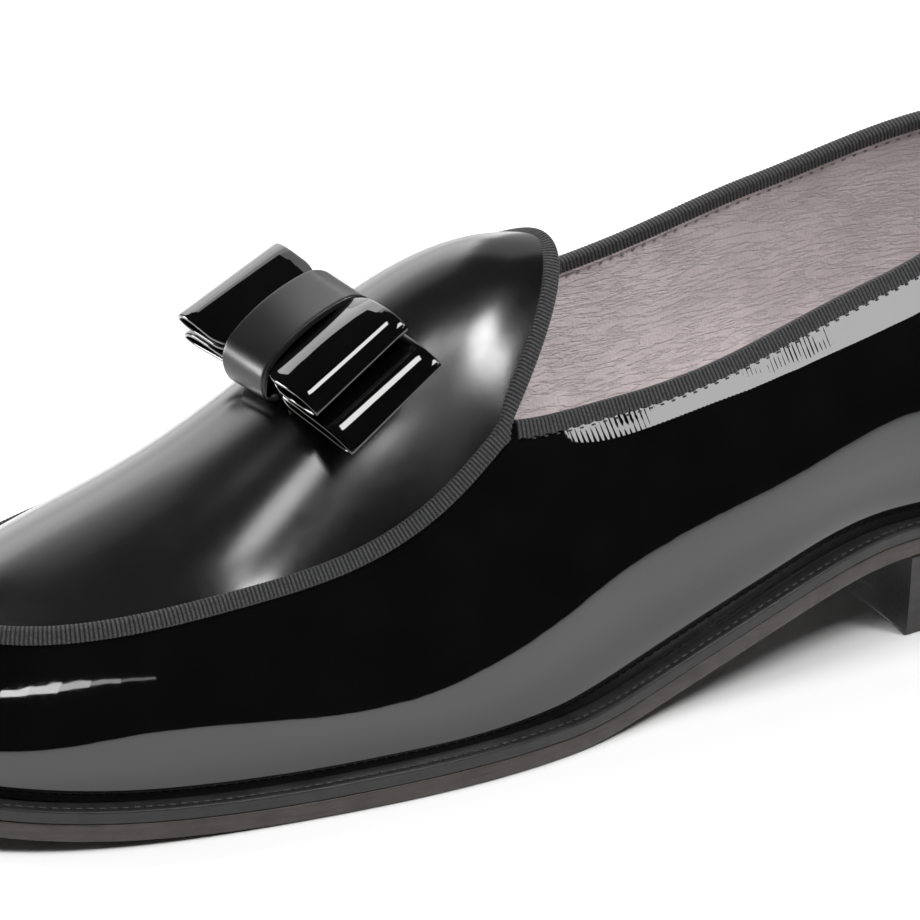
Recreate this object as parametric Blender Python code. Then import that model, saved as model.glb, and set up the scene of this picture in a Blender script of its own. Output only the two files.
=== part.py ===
"""A left tuxedo loafer with a bow. Sizes are in millimetres, the finished meshes in metres.

A point is (x, station, z): x runs to the outer side of the foot, station from the heel's back
to the toe, z up from the ground. The world has the toe towards -Y and the outer side at +X.
"""

import bmesh
import bpy
import numpy as np

# Sole
HEEL_HEIGHT = 18.0
HEEL_TAPER = 1.2
BREAST = 72.0
BREAST_HOLLOW = 4.0
TREAD_START = 164.0
TREAD_END = 216.0
TOE_SPRING = 5.0
OUTSOLE_THICK = 3.8
WELT_THICK = 2.5
GAP = 0.3
WELT_WIDTH = 4.5
WELT_WIDTH_HEEL = 3.0
WELT_WIDENS = (20.0, 100.0)
WELT_UNDER_WALL = 3.5
INSOLE_STEP = 0.8
PLATE_RUNGS = 44
WELT_COLUMNS = 110
HEEL_COLUMNS = 36

# Upper
WALL_THICK = 2.0
LEAN_POWER = 1.7
SWELL_SCALE = 27 / 4
TAB_STATION = 138.3
TAB_HEIGHT = 88.3
RIDGE_X = -5.0
RIDGE_TURNS_AT = 200.0
CROWN_POWER = 2.0
FULL_CROWN = 0.8
CROWN_FILLS = (182.0, 202.0)
CONE = 0.8
CONE_BLEND = (208.0, 246.0)

# Collar: a strip of the wall below the topline bends in. Its slope and its width, on the outer side
# near the throat and at the heel, and how much of it the inner side has.
ROLL_SLOPE = 0.42
ROLL_WIDTH = (6.7, 9.2)
ROLL_WIDENS = (125.0, 66.0)
ROLL_INNER = 0.35
ROLL_BLEND = 40.0
ROLL_FADE = 26.0
ROLL_SOFT = 1.6

# Toe: the wall's top bends in softly below the apron's seam.
TOE_SLOPE = 0.2
TOE_WIDTH = 8.0
TOE_BLEND = (200.0, 240.0)

# Bindings
TAPE_THICK = 0.8
TAPE_OUTSIDE = 2.9
TAPE_INSIDE = 2.0
TAPE_ROUND = 0.8
BEAD_WIDTH = 4.2
BEAD_HEIGHT = 1.4
BEAD_LIFT = 0.45
BEAD_SIDES = 6

# Bow
BOW_STATION = 193.5
BOW_SLOPE = 29.0
BOW_WIDTH = 25.4
STRIP_THICK = 1.0
BAND_THICK = 1.2
BAND_FROM = -11.0
BAND_TO = 3.2
BAND_HALF = 13.6
GATHER = 1.8
GATHER_FROM = 8.0
SHOULDER = 3.0
FOOT_LIFT = 0.8
LOOP_STEPS = 26
BAND_COLUMNS = 6
SHOULDER_STEPS = 5

# Sections from the heel's back to the toe tip. sole: half width of the sole; top: height of the
# upper's edge (collar, then apron seam) above the welt; lean: how far that edge leans in from the
# wall's foot; swell: how far the wall swells out below it. lat is the outer side, med the inner.
COLUMNS = (
    "station",
    "sole_lat",
    "sole_med",
    "top_lat",
    "top_med",
    "lean_lat",
    "lean_med",
    "swell_lat",
    "swell_med",
)
SECTIONS = (
    (0.0, 0.0, 0.0, 67.5, 67.5, 4.5, 4.5, 3.5, 3.5),
    (10.0, 23.5, 23.5, 66.0, 67.0, 5.0, 5.0, 3.5, 3.5),
    (35.0, 33.5, 33.0, 60.8, 64.6, 6.5, 6.0, 3.8, 3.5),
    (72.0, 35.5, 32.5, 50.4, 58.0, 4.7, 2.0, 4.0, 3.5),
    (105.0, 39.0, 28.5, 49.1, 56.5, 5.7, -3.0, 3.8, 3.0),
    (140.0, 42.0, 31.5, 54.3, 60.5, 9.0, -2.5, 2.6, 3.0),
    (162.0, 46.0, 39.5, 57.2, 61.0, 17.0, 3.5, 1.2, 2.5),
    (180.0, 47.6, 46.5, 47.7, 54.2, 15.5, 10.5, 0.4, 1.5),
    (200.0, 46.8, 51.0, 40.4, 47.0, 13.5, 15.5, 0.4, 0.8),
    (230.0, 42.5, 50.5, 36.4, 39.2, 9.5, 15.0, 0.6, 0.6),
    (260.0, 35.0, 42.5, 33.0, 33.6, 7.5, 10.0, 0.8, 0.8),
    (280.0, 24.5, 32.0, 30.2, 30.2, 9.0, 9.0, 1.0, 1.0),
    (298.0, -4.0, 4.0, 28.7, 28.7, 10.5, 10.5, 1.0, 1.0),
)
THROAT = 6

# Height of the apron's ridge over the ground, from the tab to the toe seam.
RIDGE = (
    (138.3, 88.3),
    (152.0, 90.8),
    (165.0, 89.3),
    (180.0, 83.5),
    (200.0, 72.5),
    (227.0, 59.8),
    (262.0, 49.0),
    (283.0, 40.6),
)

# Finish of each piece: colour, roughness, metallic.
FINISHES = {
    "outsole": ((0.030, 0.026, 0.024), 0.55, 0.0),
    "heel": ((0.022, 0.020, 0.020), 0.50, 0.0),
    "welt": ((0.008, 0.008, 0.008), 0.45, 0.0),
    "insole": ((0.200, 0.170, 0.175), 0.70, 0.0),
    "upper": ((0.004, 0.004, 0.004), 0.06, 0.0),
    "topline_binding": ((0.012, 0.012, 0.013), 0.80, 0.0),
    "plug_binding": ((0.012, 0.012, 0.013), 0.80, 0.0),
    "bow_lower_loop": ((0.004, 0.004, 0.004), 0.08, 0.0),
    "bow_upper_loop": ((0.004, 0.004, 0.004), 0.08, 0.0),
    "bow_band": ((0.006, 0.006, 0.006), 0.35, 0.0),
}
SHARP_ANGLE = 40.0
SMALL = 0.01

# Bow loops: middle and half length across the foot, height of the centre line over the ridge,
# its tilt and bend at the ends, and half the thickness in the middle and at the folds.
LOOP_COLUMNS = ("middle", "half", "height", "tilt", "bend", "half_mid", "half_end")
LOOPS = {
    "bow_lower_loop": (-1.6, 28.2, 2.7, -3.2, -2.4, 1.3, 1.9),
    "bow_upper_loop": (-3.6, 23.4, 6.7, -2.6, 1.2, 1.3, 1.9),
}


def spline(knots, values, periodic=False):
    """A cubic curve with even curvature through the values; periodic joins its ends."""
    t = np.asarray(knots, float)
    y = np.asarray(values, float).reshape(len(t), -1)
    step = np.diff(t)
    last = len(t) - 1
    left = np.zeros((last + 1, last + 1))
    right = np.zeros_like(y)
    for i in range(1, last):
        left[i, i - 1 : i + 2] = step[i - 1], 2 * (step[i - 1] + step[i]), step[i]
        right[i] = 6 * ((y[i + 1] - y[i]) / step[i] - (y[i] - y[i - 1]) / step[i - 1])
    left[0, 0] = 1
    left[last, last] = 1
    if periodic:
        left[0, 0] = 2 * (step[0] + step[-1])
        left[0, 1] = step[0]
        left[0, last - 1] = step[-1]
        right[0] = 6 * ((y[1] - y[0]) / step[0] - (y[0] - y[last - 1]) / step[-1])
        left[last, 0] = -1
    bend = np.linalg.solve(left, right)

    def at(q):
        q = np.asarray(q, float)
        if periodic:
            q = t[0] + np.mod(q - t[0], t[-1] - t[0])
        i = np.clip(np.searchsorted(t, q, side="right") - 1, 0, last - 1)
        a = (t[i + 1] - q)[..., None]
        b = (q - t[i])[..., None]
        w = step[i][..., None]
        cubic = (bend[i] * a**3 + bend[i + 1] * b**3) / (6 * w)
        line = (y[i] / w - bend[i] * w / 6) * a + (y[i + 1] / w - bend[i + 1] * w / 6) * b
        found = cubic + line
        return found if np.ndim(values) > 1 else found[..., 0]

    return at


def smooth(q):
    q = np.clip(q, 0, 1)
    return q * q * (3 - 2 * q)


TABLE = {name: np.array([row[i] for row in SECTIONS]) for i, name in enumerate(COLUMNS)}
LENGTH = SECTIONS[-1][0]


def round_values(name, med_sign=1):
    """One column round the shoe: heel, outer side, toe, inner side, heel."""
    return np.concatenate([TABLE[name + "_lat"], med_sign * TABLE[name + "_med"][-2::-1]])


AROUND_X = round_values("sole", -1)
AROUND_S = np.concatenate([TABLE["station"], TABLE["station"][-2::-1]])
AROUND = np.concatenate([[0], np.cumsum(np.hypot(np.diff(AROUND_X), np.diff(AROUND_S)))])
BACK = len(AROUND) - 1 - THROAT
U_END = AROUND[-1]
U_TIP = AROUND[len(SECTIONS) - 1]
U_LAT = AROUND[THROAT]
U_MED = AROUND[BACK]
TOPS = round_values("top")

outline = spline(AROUND, np.stack([AROUND_X, AROUND_S], axis=1), periodic=True)
wall_height = spline(AROUND, TOPS, periodic=True)
lean = spline(AROUND, round_values("lean"), periodic=True)
swell = spline(AROUND, round_values("swell"), periodic=True)
seam_top = spline(AROUND[THROAT : BACK + 1], TOPS[THROAT : BACK + 1])
collar_top = spline(
    np.concatenate([AROUND[BACK:] - U_END, AROUND[1 : THROAT + 1]]),
    np.concatenate([TOPS[BACK:], TOPS[1 : THROAT + 1]]),
)
ridge_height = spline(*np.transpose(RIDGE))


def edge_height(u):
    """Height of the upper's edge over the welt: the seam in front of the throat, the collar behind."""
    u = np.mod(u, U_END)
    front = seam_top(np.clip(u, U_LAT, U_MED))
    back = collar_top(np.where(u > U_END / 2, u - U_END, u))
    return np.where((u >= U_LAT) & (u <= U_MED), front, back)


def outward(u):
    along = outline(u + SMALL) - outline(u - SMALL)
    along /= np.linalg.norm(along, axis=-1, keepdims=True)
    return np.stack([along[..., 1], -along[..., 0]], axis=-1)


def sole_height(s):
    arch = HEEL_HEIGHT * smooth((TREAD_START - s) / (TREAD_START - BREAST))
    spring = TOE_SPRING * np.clip((s - TREAD_END) / (LENGTH - TREAD_END), 0, None) ** 2
    return arch + spring


def welt_width(s):
    first, last = WELT_WIDENS
    return WELT_WIDTH_HEEL + (WELT_WIDTH - WELT_WIDTH_HEEL) * smooth((s - first) / (last - first))


def inset_outline(u, inset):
    """The sole's outline moved in by the inset, as (x, station)."""
    return outline(u) - outward(u) * np.asarray(inset)[..., None]


WELT_BOTTOM = OUTSOLE_THICK + GAP
WELT_TOP = WELT_BOTTOM + WELT_THICK
UPPER_BOTTOM = WELT_TOP + GAP


def collar_roll(u, s, below):
    """How far the wall bends in at a distance below its edge: at the collar and at the toe."""
    signed = np.where(np.mod(u, U_END) > U_END / 2, np.mod(u, U_END) - U_END, np.mod(u, U_END))
    behind = np.where(signed > 0, U_LAT - signed, signed - (U_MED - U_END))
    side = ROLL_INNER + (1 - ROLL_INNER) * smooth(signed / ROLL_BLEND + 0.5)
    first, last = ROLL_WIDENS
    width = ROLL_WIDTH[0] + (ROLL_WIDTH[1] - ROLL_WIDTH[0]) * smooth((s - first) / (last - first))
    over = width - below
    bent = np.clip(over + ROLL_SOFT, 0, 2 * ROLL_SOFT)
    reach = bent**2 / (4 * ROLL_SOFT) + np.clip(over - ROLL_SOFT, 0, None)
    collar = ROLL_SLOPE * side * smooth(behind / ROLL_FADE) * reach
    first, last = TOE_BLEND
    toe = np.clip(TOE_WIDTH - below, 0, None) ** 2 * TOE_SLOPE / (2 * TOE_WIDTH)
    return collar + toe * smooth((s - first) / (last - first))


def wall(u, height):
    """The upper's outer wall at a height over the welt."""
    u = np.asarray(u, float)
    p = outline(u)
    q = height / wall_height(u)
    out = swell(u) * SWELL_SCALE * q * np.clip(1 - q, 0, None) ** 2
    out = out - lean(u) * np.clip(q, 0, None) ** LEAN_POWER - welt_width(p[..., 1])
    out = out - collar_roll(u, p[..., 1], edge_height(u) - height)
    flat = p + outward(u) * out[..., None]
    z = sole_height(p[..., 1]) + UPPER_BOTTOM + height
    return np.concatenate([flat, z[..., None]], axis=-1)


def tab_edge(junction, q):
    """The tab's edge from its back middle (q 0) to the throat junction (q 1)."""
    q = q[:, None]
    apex = np.array([RIDGE_X, TAB_STATION, TAB_HEIGHT])
    return apex + (junction - apex) * np.concatenate([q, q**2, q**2], axis=1)


def apron_sides(seam_steps, tab_steps):
    """Both edges of the apron from the toe seam back to the tab's middle, and its ridge line."""
    lat_u = np.linspace(U_TIP, U_LAT, seam_steps + 1)
    med_u = np.linspace(U_TIP, U_MED, seam_steps + 1)
    lat = wall(lat_u, edge_height(lat_u))
    med = wall(med_u, edge_height(med_u))
    q = np.linspace(1, 0, tab_steps + 1)[1:]
    lat = np.concatenate([lat, tab_edge(lat[-1], q)])
    med = np.concatenate([med, tab_edge(med[-1], q)])
    s = (lat[:, 1] + med[:, 1]) / 2
    tip = lat[0]
    x = RIDGE_X + (tip[0] - RIDGE_X) * smooth((s - RIDGE_TURNS_AT) / (tip[1] - RIDGE_TURNS_AT))
    ridge = np.stack([x, s, ridge_height(s)], axis=1)
    ridge[0] = tip
    ridge[-1] = lat[-1]
    return lat, med, ridge


def crown(t, s, outer):
    """How far the apron has dropped from its ridge (t 0) to its edge (t 1) at a station, from 0 to 1.

    The outer side is fuller beside the bow and straighter in front of it.
    """
    fills = smooth((s - CROWN_FILLS[0]) / (CROWN_FILLS[1] - CROWN_FILLS[0])) * outer
    straight = smooth((s - CONE_BLEND[0]) / (CONE_BLEND[1] - CONE_BLEND[0])) * outer
    rounded = t ** (CROWN_POWER + FULL_CROWN * fills)
    return rounded + straight * ((1 + CONE) * t**2 / (t + CONE) - rounded)


def apron(lat, med, ridge, across):
    """Rows of points from the outer edge over the ridge to the inner edge."""
    t = np.linspace(1, -1, across + 1)[None, :, None]
    edge = np.where(t >= 0, lat[:, None], med[:, None])
    away = np.broadcast_to(np.abs(t), (len(lat), across + 1, 1))
    part = np.concatenate([away, away**2, crown(away, ridge[:, None, 1:2], t >= 0)], axis=2)
    return ridge[:, None] + (edge - ridge[:, None]) * part


LINE_SEAM_STEPS = 60
LINE_TAB_STEPS = 20
LAT, MED, RIDGE_LINE = apron_sides(LINE_SEAM_STEPS, LINE_TAB_STEPS)


def apron_height(x, s):
    """Height of the apron's outer face at (x, station), close to the ridge."""
    order = np.argsort(RIDGE_LINE[:, 1])
    stations = RIDGE_LINE[order, 1]
    mid_x = np.interp(s, stations, RIDGE_LINE[order, 0])
    mid_z = np.interp(s, stations, RIDGE_LINE[order, 2])
    side = np.where(x >= mid_x, 1, 0)
    edge_x = np.where(side, np.interp(s, stations, LAT[order, 0]), np.interp(s, stations, MED[order, 0]))
    edge_z = np.where(side, np.interp(s, stations, LAT[order, 2]), np.interp(s, stations, MED[order, 2]))
    return mid_z + (edge_z - mid_z) * crown(np.abs((x - mid_x) / (edge_x - mid_x)), s, side)


OUTLINE_SAMPLES = 2000
SAMPLE = outline(np.linspace(0, U_END, OUTLINE_SAMPLES))
CENTRE_X = (SAMPLE[:, 0].max() + SAMPLE[:, 0].min()) / 2
CENTRE_S = (SAMPLE[:, 1].max() + SAMPLE[:, 1].min()) / 2


def finish(name):
    colour, roughness, metallic = FINISHES[name]
    material = bpy.data.materials.new(name)
    material.use_nodes = True
    shader = material.node_tree.nodes["Principled BSDF"]
    shader.inputs["Base Color"].default_value = (*colour, 1.0)
    shader.inputs["Roughness"].default_value = roughness
    shader.inputs["Metallic"].default_value = metallic
    return material


def make(name, points, faces):
    """A closed mesh object from (x, station, z) points in millimetres, its faces turned outwards."""
    points = np.asarray(points, float)
    world = np.stack([points[:, 0] - CENTRE_X, CENTRE_S - points[:, 1], points[:, 2]], axis=1) / 1000
    mesh = bpy.data.meshes.new(name)
    mesh.from_pydata(world.tolist(), [], [tuple(int(i) for i in face) for face in faces])
    work = bmesh.new()
    work.from_mesh(mesh)
    bmesh.ops.recalc_face_normals(work, faces=work.faces)
    work.to_mesh(mesh)
    work.free()
    mesh.shade_smooth()
    mesh.set_sharp_from_angle(angle=np.radians(SHARP_ANGLE))
    mesh.materials.append(finish(name))
    obj = bpy.data.objects.new(name, mesh)
    bpy.context.scene.collection.objects.link(obj)
    return obj


def tube_faces(rings, count, closed):
    """Quads between rings of count points each; an open tube gets flat ends."""
    faces = []
    for r in range(rings if closed else rings - 1):
        a = r * count
        b = (r + 1) % rings * count
        for i in range(count):
            j = (i + 1) % count
            faces.append((a + i, a + j, b + j, b + i))
    if not closed:
        faces.append(tuple(range(count)))
        faces.append(tuple(range((rings - 1) * count, rings * count)))
    return faces


def plate(name, inset, bottom, top):
    """A plate over the sole's shape: inset from its outline, between two heights over the sole line."""
    u = np.linspace(0, U_END, OUTLINE_SAMPLES)
    line = inset_outline(u, inset(outline(u)[:, 1]))
    heel = line[:, 1].argmin()
    line = np.roll(line[:-1], -heel, axis=0)
    toe = line[:, 1].argmax()
    lat = line[: toe + 1]
    med = np.concatenate([line[toe:], line[:1]])[::-1]
    turn = np.linspace(0, np.pi, PLATE_RUNGS + 1)
    s = lat[0, 1] + (lat[-1, 1] - lat[0, 1]) * (1 - np.cos(turn)) / 2
    mid = s[1:-1]
    mid[np.abs(mid - BREAST).argmin()] = BREAST
    mid[np.abs(mid - TREAD_START).argmin()] = TREAD_START
    mid[np.abs(mid - TREAD_END).argmin()] = TREAD_END
    sides = [np.interp(mid, lat[:, 1], lat[:, 0]), np.interp(mid, med[:, 1], med[:, 0])]
    z = sole_height(mid)
    rings = np.stack(
        [
            np.stack([sides[0], mid, z + bottom], axis=1),
            np.stack([sides[0], mid, z + top], axis=1),
            np.stack([sides[1], mid, z + top], axis=1),
            np.stack([sides[1], mid, z + bottom], axis=1),
        ],
        axis=1,
    )
    count = len(mid)
    points = rings.reshape(-1, 3)
    ends = []
    for x, station in (lat[0], lat[-1]):
        height = sole_height(np.array(station))
        ends.append((x, station, height + bottom))
        ends.append((x, station, height + top))
    points = np.concatenate([points, ends])
    faces = tube_faces(count, 4, False)[:-2]
    for ring, low in ((0, count * 4), ((count - 1) * 4, count * 4 + 2)):
        faces.append((ring, ring + 1, low + 1, low))
        faces.append((ring + 2, ring + 3, low, low + 1))
        faces.append((ring + 1, ring + 2, low + 1))
        faces.append((ring + 3, ring, low))
    return make(name, points, faces)


def build_outsole():
    plate("outsole", lambda s: 0 * s, 0.0, OUTSOLE_THICK)


def welt_inner(s):
    return welt_width(s) + WELT_UNDER_WALL


def build_insole():
    plate("insole", lambda s: welt_inner(s) + GAP, WELT_BOTTOM, WELT_TOP + INSOLE_STEP)


def build_welt():
    u = np.linspace(0, U_END, WELT_COLUMNS + 1)[:-1]
    outer = outline(u)
    inner = inset_outline(u, welt_inner(outer[:, 1]))
    points = []
    for (outer_x, outer_s), (inner_x, inner_s) in zip(outer, inner):
        outer_z = sole_height(outer_s)
        inner_z = sole_height(inner_s)
        points.append((outer_x, outer_s, outer_z + WELT_BOTTOM))
        points.append((outer_x, outer_s, outer_z + WELT_TOP))
        points.append((inner_x, inner_s, inner_z + WELT_TOP))
        points.append((inner_x, inner_s, inner_z + WELT_BOTTOM))
    make("welt", points, tube_faces(WELT_COLUMNS, 4, True))


def build_heel():
    columns = HEEL_COLUMNS
    u = np.linspace(0, U_END, OUTLINE_SAMPLES)
    s = outline(u)[:, 1]
    lat_u = u[np.argmax(s > BREAST)]
    med_u = u[len(s) - 1 - np.argmax(s[::-1] > BREAST)]
    around = np.linspace(med_u - U_END, lat_u, columns + 1)
    levels = ((0.0, HEEL_TAPER), (HEEL_HEIGHT - GAP, 0.0))
    points = []
    for z, taper in levels:
        side = inset_outline(around, np.full(columns + 1, taper))
        front = np.linspace(side[0], side[-1], columns + 1)
        half = (side[-1, 0] - side[0, 0]) / 2
        mid = (side[-1, 0] + side[0, 0]) / 2
        front[:, 1] -= BREAST_HOLLOW * (1 - ((front[:, 0] - mid) / half) ** 2)
        loop = np.concatenate([side, front[-2:0:-1]])
        points.append(np.concatenate([loop, np.full((len(loop), 1), z)], axis=1))
    count = len(points[0])
    faces = tube_faces(2, count, False)[:-2]
    for base in (0, count):
        for i in range(columns):
            near = [base + i, base + i + 1]
            far = [base + (count - i - 1) % count, base + (count - i) % count]
            quad = near + far if i else near + far[:1]
            if i == columns - 1:
                quad = [base + i, base + i + 1, base + (count - i) % count]
            faces.append(tuple(dict.fromkeys(quad)))
    make("heel", np.concatenate(points), faces)


SEAM_STEPS = 26
TAB_STEPS = 9
REAR_STEPS = 46
WALL_ROWS = 7
APRON_COLUMNS = 12


def wall_columns(seam_steps, rear_steps):
    """Places round the outline: throat, toe, throat, heel, with the throats and the toe tip exact."""
    lat = np.linspace(U_LAT, U_TIP, seam_steps + 1)
    med = np.linspace(U_TIP, U_MED, seam_steps + 1)[1:]
    rear = np.linspace(U_MED, U_END + U_LAT, rear_steps + 1)[1:-1]
    return np.concatenate([lat, med, rear])


def outer_skin(seam_steps, tab_steps, rear_steps, rows, across):
    """Points and faces of the upper's outer face, and the points on its foot."""
    u = wall_columns(seam_steps, rear_steps)
    columns = len(u)
    part = np.linspace(0, 1, rows + 1)[:, None]
    side = wall(np.broadcast_to(u, (rows + 1, columns)), part * edge_height(u))
    points = list(side.reshape(-1, 3))
    faces = []
    for r in range(rows):
        for i in range(columns):
            j = (i + 1) % columns
            a = r * columns
            b = a + columns
            faces.append((a + i, a + j, b + j, b + i))
    top = rows * columns
    lat, med, ridge = apron_sides(seam_steps, tab_steps)
    grid = apron(lat, med, ridge, across)
    rungs = []
    for k in range(seam_steps + tab_steps + 1):
        if k == 0:
            rungs.append([top + seam_steps])
            continue
        if k == seam_steps + tab_steps:
            points.append(grid[k, 0])
            rungs.append([len(points) - 1])
            continue
        rung = []
        for c in range(across + 1):
            if k <= seam_steps and c == 0:
                rung.append(top + seam_steps - k)
            elif k <= seam_steps and c == across:
                rung.append(top + seam_steps + k)
            else:
                points.append(grid[k, c])
                rung.append(len(points) - 1)
        rungs.append(rung)
    for near, far in zip(rungs, rungs[1:]):
        for c in range(across):
            quad = [near[min(c, len(near) - 1)], near[min(c + 1, len(near) - 1)]]
            quad += [far[min(c + 1, len(far) - 1)], far[min(c, len(far) - 1)]]
            faces.append(tuple(dict.fromkeys(quad)))
    return np.array(points), faces, columns


def turned_alike(faces):
    """The faces with a shared winding, walking from neighbour to neighbour."""
    owners = {}
    for f, face in enumerate(faces):
        for a, b in zip(face, face[1:] + face[:1]):
            owners.setdefault(frozenset((a, b)), []).append(f)
    done = {0: faces[0]}
    queue = [0]
    while queue:
        f = queue.pop()
        face = done[f]
        for a, b in zip(face, face[1:] + face[:1]):
            for other in owners[frozenset((a, b))]:
                if other in done:
                    continue
                same = faces[other]
                pairs = set(zip(same, same[1:] + same[:1]))
                done[other] = same[::-1] if (a, b) in pairs else same
                queue.append(other)
    return [done[f] for f in range(len(faces))]


def point_normals(points, faces):
    normals = np.zeros_like(points)
    for face in faces:
        corner = points[list(face)]
        area = np.cross(corner[1] - corner[0], corner[2] - corner[0])
        if len(face) == 4:
            area = np.cross(corner[2] - corner[0], corner[3] - corner[1])
        normals[list(face)] += area
    return normals / np.linalg.norm(normals, axis=1, keepdims=True)


def skin_with_normals():
    points, faces, columns = outer_skin(SEAM_STEPS, TAB_STEPS, REAR_STEPS, WALL_ROWS, APRON_COLUMNS)
    faces = turned_alike(faces)
    normals = point_normals(points, faces)
    if normals[0, 0] < 0:
        faces = [face[::-1] for face in faces]
        normals = -normals
    return points, faces, normals, columns


SKIN, SKIN_FACES, SKIN_NORMALS, SKIN_COLUMNS = skin_with_normals()


def build_upper():
    inward = SKIN_NORMALS.copy()
    foot = inward[:SKIN_COLUMNS]
    foot[:, 2] = 0
    foot /= np.linalg.norm(foot, axis=1, keepdims=True)
    count = len(SKIN)
    points = np.concatenate([SKIN, SKIN - WALL_THICK * inward])
    faces = list(SKIN_FACES)
    faces += [tuple(i + count for i in face[::-1]) for face in SKIN_FACES]
    edges = {}
    for face in SKIN_FACES:
        for a, b in zip(face, face[1:] + face[:1]):
            edges[(a, b)] = (b, a)
    for (a, b), back in edges.items():
        if back not in edges:
            faces.append((b, a, a + count, b + count))
    make("upper", points, faces)


def along_path(points, closed):
    """Unit directions along a path."""
    if closed:
        step = np.roll(points, -1, axis=0) - np.roll(points, 1, axis=0)
    else:
        step = np.gradient(points, axis=0)
    return step / np.linalg.norm(step, axis=1, keepdims=True)


def sweep(name, points, normals, sides, profile, closed):
    """A strip along a path: profile points are (towards side, along normal)."""
    rings = []
    for point, normal, side in zip(points, normals, sides):
        rings.append(point + np.outer(profile[:, 0], side) + np.outer(profile[:, 1], normal))
    make(name, np.concatenate(rings), tube_faces(len(rings), len(profile), closed))


def build_topline_binding():
    top = WALL_ROWS * SKIN_COLUMNS
    start = 2 * SEAM_STEPS
    index = top + np.arange(start + 1, SKIN_COLUMNS)
    points = SKIN[index]
    normals = SKIN_NORMALS[index]
    along = along_path(points, False)
    up = np.cross(along, normals)
    up *= np.sign(up[:, 2:3])
    up /= np.linalg.norm(up, axis=1, keepdims=True)
    normals = np.cross(up, along)
    normals *= np.sign((normals * SKIN_NORMALS[index]).sum(axis=1, keepdims=True))
    near = GAP
    far = GAP + TAPE_THICK
    turn = far - TAPE_ROUND
    profile = np.array(
        [
            (-TAPE_OUTSIDE, near),
            (-TAPE_OUTSIDE, far),
            (turn, far),
            (far, turn),
            (far, -WALL_THICK - turn),
            (turn, -WALL_THICK - far),
            (-TAPE_INSIDE, -WALL_THICK - far),
            (-TAPE_INSIDE, -WALL_THICK - near),
            (near, -WALL_THICK - near),
            (near, near),
        ]
    )
    sweep("topline_binding", points, normals, up, profile, False)


def build_plug_binding():
    top = WALL_ROWS * SKIN_COLUMNS
    seam = top + np.arange(2 * SEAM_STEPS + 1)
    tab_first = (WALL_ROWS + 1) * SKIN_COLUMNS + SEAM_STEPS * (APRON_COLUMNS - 1)
    row = APRON_COLUMNS + 1
    lat_tab = tab_first + row * np.arange(TAB_STEPS - 1)
    med_tab = lat_tab + APRON_COLUMNS
    apex = [tab_first + row * (TAB_STEPS - 1)]
    index = np.concatenate([seam, med_tab, apex, lat_tab[::-1]])
    points = SKIN[index]
    along = along_path(points, True)
    normals = SKIN_NORMALS[index]
    sides = np.cross(normals, along)
    sides /= np.linalg.norm(sides, axis=1, keepdims=True)
    normals = np.cross(along, sides)
    half = BEAD_WIDTH / 2
    turn = np.linspace(0, np.pi, BEAD_SIDES)
    rim = np.stack([half * np.cos(turn), BEAD_LIFT + BEAD_HEIGHT * np.sin(turn)], axis=1)
    sweep("plug_binding", points, normals, sides, rim, True)


def on_bow(x, along, height):
    """A point of the bow: across the foot, down the slope of the ridge, and up from it."""
    slope = np.radians(BOW_SLOPE)
    base = ridge_height(np.array(BOW_STATION))
    s = BOW_STATION + along * np.cos(slope) + height * np.sin(slope)
    z = base - along * np.sin(slope) + height * np.cos(slope)
    return np.stack(np.broadcast_arrays(x, s, z), axis=-1)


def loop_values(name):
    return dict(zip(LOOP_COLUMNS, LOOPS[name]))


def loop_height(loop, x):
    q = (x - loop["middle"]) / loop["half"]
    return loop["height"] + loop["tilt"] * q + loop["bend"] * q**2


def loop_ring(loop, inset):
    """One closed line round a folded strip, seen along the shoe: (x, height)."""
    half = loop["half"] - inset
    end = loop["half_end"] - inset
    turn = np.linspace(0, np.pi, LOOP_STEPS + 1)
    q = np.cos(turn) * half
    thick = loop["half_mid"] - inset + (loop["half_end"] - loop["half_mid"]) * (q / half) ** 2
    over = np.clip((np.abs(q) - (half - end)) / end, 0, 1)
    thick = thick * np.sqrt(1 - over**2)
    x = loop["middle"] + q
    mid = loop_height(loop, x)
    upper = np.stack([x, mid + thick], axis=1)
    lower = np.stack([x, mid - thick], axis=1)[::-1]
    return np.concatenate([upper, lower[1:-1]])


def strip_half(x):
    """Half the loops' width down the slope: the band gathers them in the middle."""
    away = np.abs(x - (BAND_FROM + BAND_TO) / 2) - GATHER_FROM
    return BOW_WIDTH / 2 - GATHER * (1 - smooth(away / GATHER_FROM))


def build_loop(name):
    loop = loop_values(name)
    rings = []
    for inset, side in ((0, -1), (0, 1), (STRIP_THICK, 1), (STRIP_THICK, -1)):
        ring = loop_ring(loop, inset)
        rings.append(on_bow(ring[:, 0], side * strip_half(ring[:, 0]), ring[:, 1]))
    make(name, np.concatenate(rings), tube_faces(4, len(rings[0]), True))


def arch(half, top, radius):
    """Half a strap's line with a rounded shoulder, from its foot to its middle: (along, height)."""
    turn = np.linspace(0, np.pi / 2, SHOULDER_STEPS)
    along = half - radius + radius * np.cos(turn)
    height = top - radius + radius * np.sin(turn)
    return np.concatenate([[half], along, [0]]), np.concatenate([[np.nan], height, [top]])


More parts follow.
